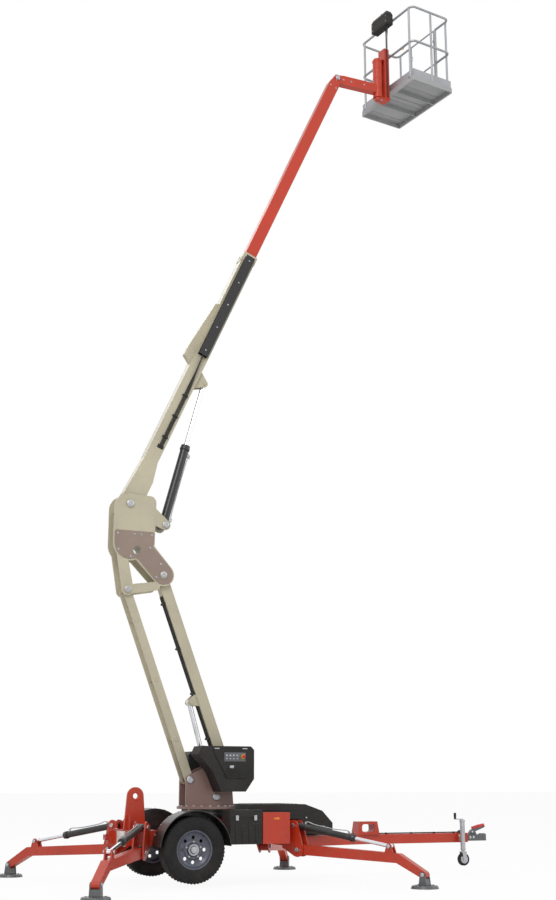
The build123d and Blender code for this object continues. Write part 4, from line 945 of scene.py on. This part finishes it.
def knuckleTrim():
    half = tower["knuckleOut"]
    places = (linkHead, pins["knuckle_level"], pins["boom_lift"], pins["boom_barrel_turn"])
    caps = Shape()
    for at, radius in zip(places, (0.043, 0.043, 0.048, 0.043)):
        cap = [
            (-0.001, radius - 0.006), (0.004, radius - 0.006), (0.0065, radius - 0.01), (0.0065, 0.01),
            (0.004, 0.0),
        ]
        for side in (-1, 1):
            face = at + leftward * (side * half)
            caps.lathe(face, (0, side, 0), cap, 36)
            caps.bolt(face + Vector((0.024 * cos(0.8), side * 0.004, 0.024 * sin(0.8))), (0, side, 0), 0.004)
    caps.put("knucklePinCaps", "knuckle", "zinc")
    tube = linkHead + Vector(tower["tubeFromLink"])
    route = (
        (-0.02, 0, -0.0775), (-0.0855, 0, -0.02), (-0.09, 0, 0.06), (-0.075, 0, 0.16), (-0.06, 0.01, 0.26),
    )
    hoses = Shape()
    for y in (0.03, 0.054, 0.078):
        hoses.pipe([tube + leftward * y + Vector(bend) for bend in route], 0.008)
    hoses.put("knuckleHoses", "knuckle", "hose")
    rim = [(0, 0.076), (0.003, 0.0755), (0.005, 0.072), (0.005, 0.054), (0.0, 0.0515)]
    rims, guards, bolts, hole = Shape(), Shape(), Shape(), tower["guardHole"]
    for side in (-1, 1):
        rims.lathe(tube + leftward * (side * (half - 0.0125)), (0, side, 0), rim, 40)
        place = Matrix.Translation((0, side * (half - 0.0125), 0)) @ Matrix.Rotation(pi / 2, 4, "X")
        for part, first in (("guardFront", -pi / 2), ("guardRear", pi / 2)):
            outline = [(tower["guardX"] + x, z) for x, z in tower[part]]
            for step in range(17):
                turn = first + pi * step / 16
                outline.append((tube.x + hole * cos(turn), tube.z + hole * sin(turn)))
            guards.plate(place, outline, -side * 0.0045)
        for x, z in tower["guardBolts"]:
            bolts.bolt((tower["guardX"] + x, side * (half - 0.0085), z), (0, side, 0), 0.006)
    rims.put("knuckleTubeRims", "knuckle", "taupe")
    guards.put("knuckleGuardPlates", "knuckle", "taupe", bevel=0.001)
    bolts.put("knuckleGuardBolts", "knuckle", "zinc")


towerTrim()
knuckleTrim()
cylinderTrim("towerCylinder", "tower_rod_slide", "tower_barrel", 0.58, 0.048)
cylinderTrim("boomCylinder", "boom_rod_slide", "boom_barrel", 1.05, 0.052)
print("tower and knuckle made")

# Boom
boom = {"halfDepth": 0.0875, "halfWidth": 0.085, "flyHalf": 0.075, "flyHalfWidth": 0.065, "tip": 6.862}
chain = {"start": 2.16, "end": 3.64, "links": 44, "out": 0.03}
boomOut = slides["telescope"] * (1 if slides["telescope"].z > 0 else -1)
boomUp = leftward.cross(boomOut) * (-1 if leftward.cross(boomOut).x > 0 else 1)


def onBoom(length, high=0.0, side=0.0):
    # a point by its distance from the boom's pivot, its height over the middle line and its side
    return pins["boom_lift"] + boomOut * length + boomUp * high + leftward * side


def cornerSeams(name, body, finish, lengths, deep, half, radius):
    # thin weld lines along the four corners
    seams = Shape()
    for side in (-1, 1):
        for edge in (-1, 1):
            seams.pipe([onBoom(length, edge * deep, side * half) for length in lengths], radius, 6, 4)
    seams.put(name, body, finish)


def boomTrim():
    half, deep = boom["halfWidth"], boom["halfDepth"]
    bolts, collar = Shape(), Shape()
    for side in (-1, 1):
        for length in (3.64, 3.7):
            for high in (-0.045, 0.045):
                bolts.bolt(onBoom(length, high, side * (half + 0.0003)), (0, side, 0), 0.0055)
    for face in (-1, 1):
        for side in (-0.035, 0.035):
            bolts.bolt(onBoom(3.67, face * (deep + 0.0003), side), boomUp * face, 0.0055)
    bolts.put("wearPadBolts", "base_boom", "zinc")
    for side in (-1, 1):
        flank = facing(onBoom(3.66, 0, side * (half + 0.002)), (0, side, 0), boomOut)
        face = facing(onBoom(3.66, side * (deep + 0.002)), boomUp * side, boomOut)
        collar.block(flank, (0.19, 0.12, 0.006), 0.002).block(face, (0.17, 0.12, 0.006), 0.002)
    collar.put("boomEndCollar", "base_boom", "cream")
    cornerSeams(
        "boomWeldSeams", "base_boom", "cream", (0.63, 1.3, 2.0, 2.8, 3.59), deep - 0.002, half - 0.002, 0.0032
    )
    places = [onBoom(length, 0, -half - 0.0603) for length in (2.2, 2.55, 2.9, 3.25, 3.6)]
    Shape().bolts(places, -leftward, 0.005).put("trayBolts", "base_boom", "zinc")
    tail = Shape().block(facing(onBoom(-0.14), -boomOut, boomUp), (0.155, 0.18, 0.012), 0.003)
    tail.put("boomTailPlate", "base_boom", "cream")
    places = [onBoom(-0.1455, high, side) for side in (-0.055, 0.055) for high in (-0.06, 0.06)]
    Shape().bolts(places, -boomOut, 0.005).put("boomTailBolts", "base_boom", "zinc")


def energyChain():
    half = boom["halfWidth"]
    blocks = ((0.004, (0.042, 0.026, 0.088), 0.005), (0.05, (0.044, 0.012, 0.012), 0.003))
    links, hoses, clips = Shape(), Shape(), Shape()
    for step in range(chain["links"]):
        length = chain["start"] + step * (chain["end"] - chain["start"]) / (chain["links"] - 1)
        for high, size, corner in blocks:
            links.block(facing(onBoom(length, high, -half - chain["out"]), boomUp, boomOut), size, corner)
    links.put("energyChain", "base_boom", "moulded")
    for step in range(3):
        side, high = -half - 0.016 - step * 0.014, -0.012 - step * 0.018
        route = [
            (2.15, 0.0, side), (1.95, -0.012, side + 0.004), (1.6, high, -0.0935), (1.1, high, -0.0935),
            (0.86, high, -0.0935), (0.8, high, -0.082),
        ]
        hoses.pipe([onBoom(*bend) for bend in route], 0.007, 10, 6)
    hoses.put("boomHoses", "base_boom", "hose")
    clips.block(facing(onBoom(0.815, -0.03, -0.087), -leftward, boomOut), (0.08, 0.045, 0.008), 0.003)
    for length in (0.95, 1.25, 1.55):
        clips.block(facing(onBoom(length, -0.028, -0.093), -leftward, boomOut), (0.075, 0.02, 0.022), 0.004)
    clips.put("boomHoseClips", "base_boom", "moulded")


def flyTrim():
    half, tip, deep = boom["flyHalfWidth"], boom["tip"], boom["flyHalf"]
    cap = [(0, 0.033), (0.006, 0.033), (0.009, 0.029), (0.009, 0.009), (0.005, 0.0)]
    caps = Shape()
    for side in (-1, 1):
        caps.lathe(onBoom(tip, 0, side * (half + 0.0095)), (0, side, 0), cap)
        caps.bolt(onBoom(tip - 0.04, 0, side * (half + 0.0005)), (0, side, 0), 0.0045)
        places = [onBoom(6.7, high, side * (half + 0.0003)) for high in (-0.045, 0.045)]
        caps.bolts(places, (0, side, 0), 0.0055)
    caps.put("flyPinCaps", "fly_boom", "zinc")
    lengths = (3.8, 4.5, 5.2, 5.9, 6.72)
    cornerSeams("flyCornerSeams", "fly_boom", "orange", lengths, deep - 0.0022, half - 0.0022, 0.0025)


boomTrim()
energyChain()
flyTrim()
print("boom made")

# Platform
platform = {
    "yaw": 8, "postNear": 0.172, "postFar": 0.828, "postSide": 0.523, "gatePost": 0.296, "treadRows": 24,
    "treadColumns": 42, "consoleX": 0.1007, "consoleTop": 1.21, "consoleBottom": 1.0, "consoleHalf": 0.055,
    "consoleSide": 0.18,
}
mast = pins["platform_rotate"]
platformOut = Vector((cos(radians(platform["yaw"])), sin(radians(platform["yaw"])), 0))
platformSide = Vector((-platformOut.y, platformOut.x, 0))


def onPlatform(x, y, z):
    # x away from the mast, y to the left, z over the deck
    return mast + platformOut * x + platformSide * y + upward * z


def deckTrim():
    tread, under, feet = Shape(), Shape(), Shape()
    rows, columns = platform["treadRows"], platform["treadColumns"]
    for row in range(rows):
        for column in range(columns):
            x = 0.18 + row * 0.64 / (rows - 1)
            y = -0.575 + column * 1.15 / (columns - 1)
            turn = radians(45 if (row + column) % 2 else -45)
            along = platformOut * cos(turn) + platformSide * sin(turn)
            tread.block(facing(onPlatform(x, y, 0.001), upward, along), (0.007, 0.024, 0.003))
    tread.put("deckTread", "platform", "deck")
    for y in (-0.5, -0.3, 0.3, 0.5, 0.0, -0.1, 0.1):
        under.block(facing(onPlatform(0.5, y, -0.0095), -upward, platformOut), (0.03, 0.63, 0.008), 0.002)
    under.put("deckStiffeners", "platform", "deck")
    near, far, side, gate = (platform[key] for key in ("postNear", "postFar", "postSide", "gatePost"))
    foot = [(0, 0.027), (0.004, 0.027), (0.006, 0.023), (0.012, 0.0168), (0.03, 0.0162)]
    for x, y in ((near, -side), (near, side), (far, -side), (far, side), (far, -gate), (far, gate)):
        feet.lathe(onPlatform(x, y, 0), upward, foot, 24)
    feet.put("railPostFeet", "platform", "aluminium")


def railTrim():
    near, far, side, gate = (platform[key] for key in ("postNear", "postFar", "postSide", "gatePost"))
    posts = (
        (near, side), (near, 0), (near, -side), (far, side), (far, -side), (far, gate), (far, -gate),
        (0.5, 0.593), (0.5, -0.593),
    )
    welds = Shape()
    for x, y in posts:
        for z in (0.5338, 0.5662, 1.0678):
            welds.lathe(onPlatform(x, y, z), upward, [(-0.004, 0.0155), (0, 0.0178), (0.004, 0.0155)], 20)
    welds.put("railWelds", "platform", "aluminium")
    latch = Shape().block(facing(onPlatform(far, 0.268, 0.9), platformOut), (0.045, 0.075, 0.03), 0.004)
    latch.rod(onPlatform(far, 0.24, 0.915), onPlatform(far, 0.285, 0.915), 0.006, 14)
    latch.put("gateLatch", "platform", "zinc")
    anchors = Shape()
    turns = [pi * step / 6 for step in range(13)]
    for y in (-0.35, 0.35):
        ring = [onPlatform(0.188, y + 0.022 * cos(a), 0.55 + 0.022 * sin(a)) for a in turns]
        anchors.pipe(ring, 0.005, 10, 3)
    anchors.put("lanyardAnchors", "platform", "yellow")


def consoleTrim():
    x, top, bottom = platform["consoleX"], platform["consoleTop"], platform["consoleBottom"]
    half, side = platform["consoleHalf"], platform["consoleSide"]
    place = facing(onPlatform(x, 0, top + 0.0005), upward, platformOut)
    Shape().block(place, (0.28, 0.052, 0.005), 0.002).put("consolePanel", "platform", "grey")
    stick = [
        (0, 0.026), (0.004, 0.025), (0.007, 0.019), (0.011, 0.02), (0.014, 0.0135), (0.018, 0.0145),
        (0.021, 0.0098), (0.026, 0.0115), (0.033, 0.0125), (0.0372, 0.0095), (0.0378, 0.0),
    ]
    Shape().lathe(onPlatform(x, 0, top + 0.002), upward, stick, 28).put("consoleStick", "platform", "moulded")
    spot = onPlatform(x, -0.09, top + 0.002)
    stop = [(0, 0.01), (0.012, 0.01), (0.014, 0.018), (0.022, 0.019), (0.027, 0.015), (0.029, 0.0)]
    Shape().lathe(spot, upward, stop, 28).put("consoleStopButton", "platform", "red")
    collar = [(0, 0.025), (0.003, 0.025), (0.004, 0.011)]
    Shape().lathe(spot, upward, collar, 28).put("consoleStopCollar", "platform", "yellow")
    switch = [(0, 0.008), (0.003, 0.008), (0.005, 0.004), (0.018, 0.0028), (0.019, 0.0)]
    switches, seams, screws, clamps = Shape(), Shape(), Shape(), Shape()
    for y in (0.055, 0.08, 0.105):
        switches.lathe(onPlatform(x, y, top + 0.002), upward, switch, 16)
    switches.put("consoleSwitches", "platform", "zinc")
    for high in (bottom + 0.02, bottom + 0.145):
        for way in (-1, 1):
            end = facing(onPlatform(x, way * (side + 0.0002), high), platformSide * way, upward)
            face = facing(onPlatform(x + way * (half + 0.0002), 0, high), platformOut * way, upward)
            seams.block(end, (0.095, 0.005, 0.005), 0.0015)
            seams.block(face, (2 * side - 0.02, 0.005, 0.005), 0.0015)
    for way in (-1, 1):
        for high in (bottom + 0.04, bottom + 0.125):
            places = [onPlatform(x + way * half, across, high) for across in (-0.155, 0.155)]
            screws.bolts(places, platformOut * way, 0.0035)
    for y in (-0.13, 0.13):
        clamps.block(facing(onPlatform(0.163, y, 1.083), upward, platformOut), (0.03, 0.04, 0.044), 0.004)
    seams.put("consoleSeams", "platform", "moulded")
    screws.put("consoleScrews", "platform", "zinc")
    clamps.put("consoleClamps", "platform", "zinc")
    route = [(x, -0.12, bottom + 0.002), (x, -0.118, 0.93), (0.11, -0.09, 0.8)]
    route += [(0.115, -0.0785, z) for z in (0.62, 0.3, 0.1, -0.1)]
    Shape().pipe([onPlatform(*bend) for bend in route], 0.008).put("consoleCable", "platform", "hose")


def supportTrim():
    tip = pins["platform_level"]
    foot = Vector((mast.x, 0, tip.z))
    end = [(0.0, 0.0655), (0.002, 0.071), (0.026, 0.071), (0.03, 0.0655)]
    band = [(0, 0.0652), (0.004, 0.0685), (0.016, 0.0685), (0.02, 0.0652)]
    caps, bolts, plates = Shape(), Shape(), Shape()
    for z, out in ((-0.128, upward), (0.452, -upward)):
        caps.lathe(foot + upward * z, out, end, 44)
    for z in (0.0, 0.16, 0.32):
        caps.lathe(foot + upward * z, upward, band, 44)
    caps.put("rotatorCollars", "platform_support", "orange")
    for side in (-1, 1):
        bolts.bolts([tip + Vector((x, side * 0.0503, 0)) for x in (0.1, 0.22, 0.42)], (0, side, 0), 0.006)
    bolts.put("supportBolts", "platform_support", "zinc")
    for z, out in ((-0.158, -upward), (0.482, upward)):
        at = foot + upward * z + platformOut * 0.03
        plates.bolts([at + platformSide * y for y in (-0.045, 0.045)], out, 0.006)
    plates.put("mastPlateBolts", "platform", "zinc")


deckTrim()
railTrim()
consoleTrim()
supportTrim()
print("platform made")

# Studio
studio = {"floor": 170.0, "floorColour": (248, 248, 247), "seenWhite": 0.93, "world": 0.56}
lamps = {
    # place, aim, size, power
    "keyLamp": ((-9, -11, 14), (0, 0, 4), 7, 1110.0),
    "fillLamp": ((12, -8, 9), (0, 0, 4), 9, 345.0),
    "backLamp": ((2, 13, 13), (0, 0, 5), 8, 345.0),
}


def studioFloor():
    shape = bmesh.new()
    bmesh.ops.create_grid(shape, x_segments=2, y_segments=2, size=studio["floor"])
    data = bpy.data.meshes.new("floor")
    shape.to_mesh(data)
    shape.free()
    floor = bpy.data.objects.new("floor", data)
    floor.location = (0, 0, -0.0005)
    bpy.context.scene.collection.objects.link(floor)
    made = bpy.data.materials.new("paleFloor")
    made.use_nodes = True
    tree = made.node_tree
    start = Wire(tree)
    seen = start.node("ShaderNodeLightPath", output=0)
    matte = start.node("ShaderNodeBsdfDiffuse", {}, {"Color": (*shade(studio["floorColour"]), 1)})
    glow = start.node("ShaderNodeEmission", {}, {"Color": (1, 1, 1, 1), "Strength": 1.0})
    mixed = start.node("ShaderNodeMixShader", {}, {0: studio["seenWhite"] * seen, 1: matte, 2: glow})
    tree.links.new(mixed.socket, tree.nodes["Material Output"].inputs["Surface"])
    data.materials.append(made)


def studioWorld():
    world = bpy.data.worlds.new("studio")
    bpy.context.scene.world = world
    world.use_nodes = True
    tree = world.node_tree
    start = Wire(tree)
    seen, mirrored, clear = (start.node("ShaderNodeLightPath", output=output) for output in (0, 3, 6))
    background = start.maths("MAXIMUM", seen, start.maths("MAXIMUM", mirrored, clear))
    light = tree.nodes["Background"]
    light.inputs["Color"].default_value = (1, 1, 1, 1)
    tree.links.new((studio["world"] + (1 - studio["world"]) * background).socket, light.inputs["Strength"])


def studioLamps():
    for name, (place, aim, size, power) in lamps.items():
        data = bpy.data.lights.new(name, "AREA")
        data.size = size
        data.energy = power
        lamp = bpy.data.objects.new(name, data)
        lamp.location = place
        lamp.rotation_euler = (Vector(aim) - Vector(place)).to_track_quat("-Z", "Y").to_euler()
        bpy.context.scene.collection.objects.link(lamp)


studioFloor()
studioWorld()
studioLamps()
bpy.context.scene.view_settings.view_transform = "Standard"
print("studio made")
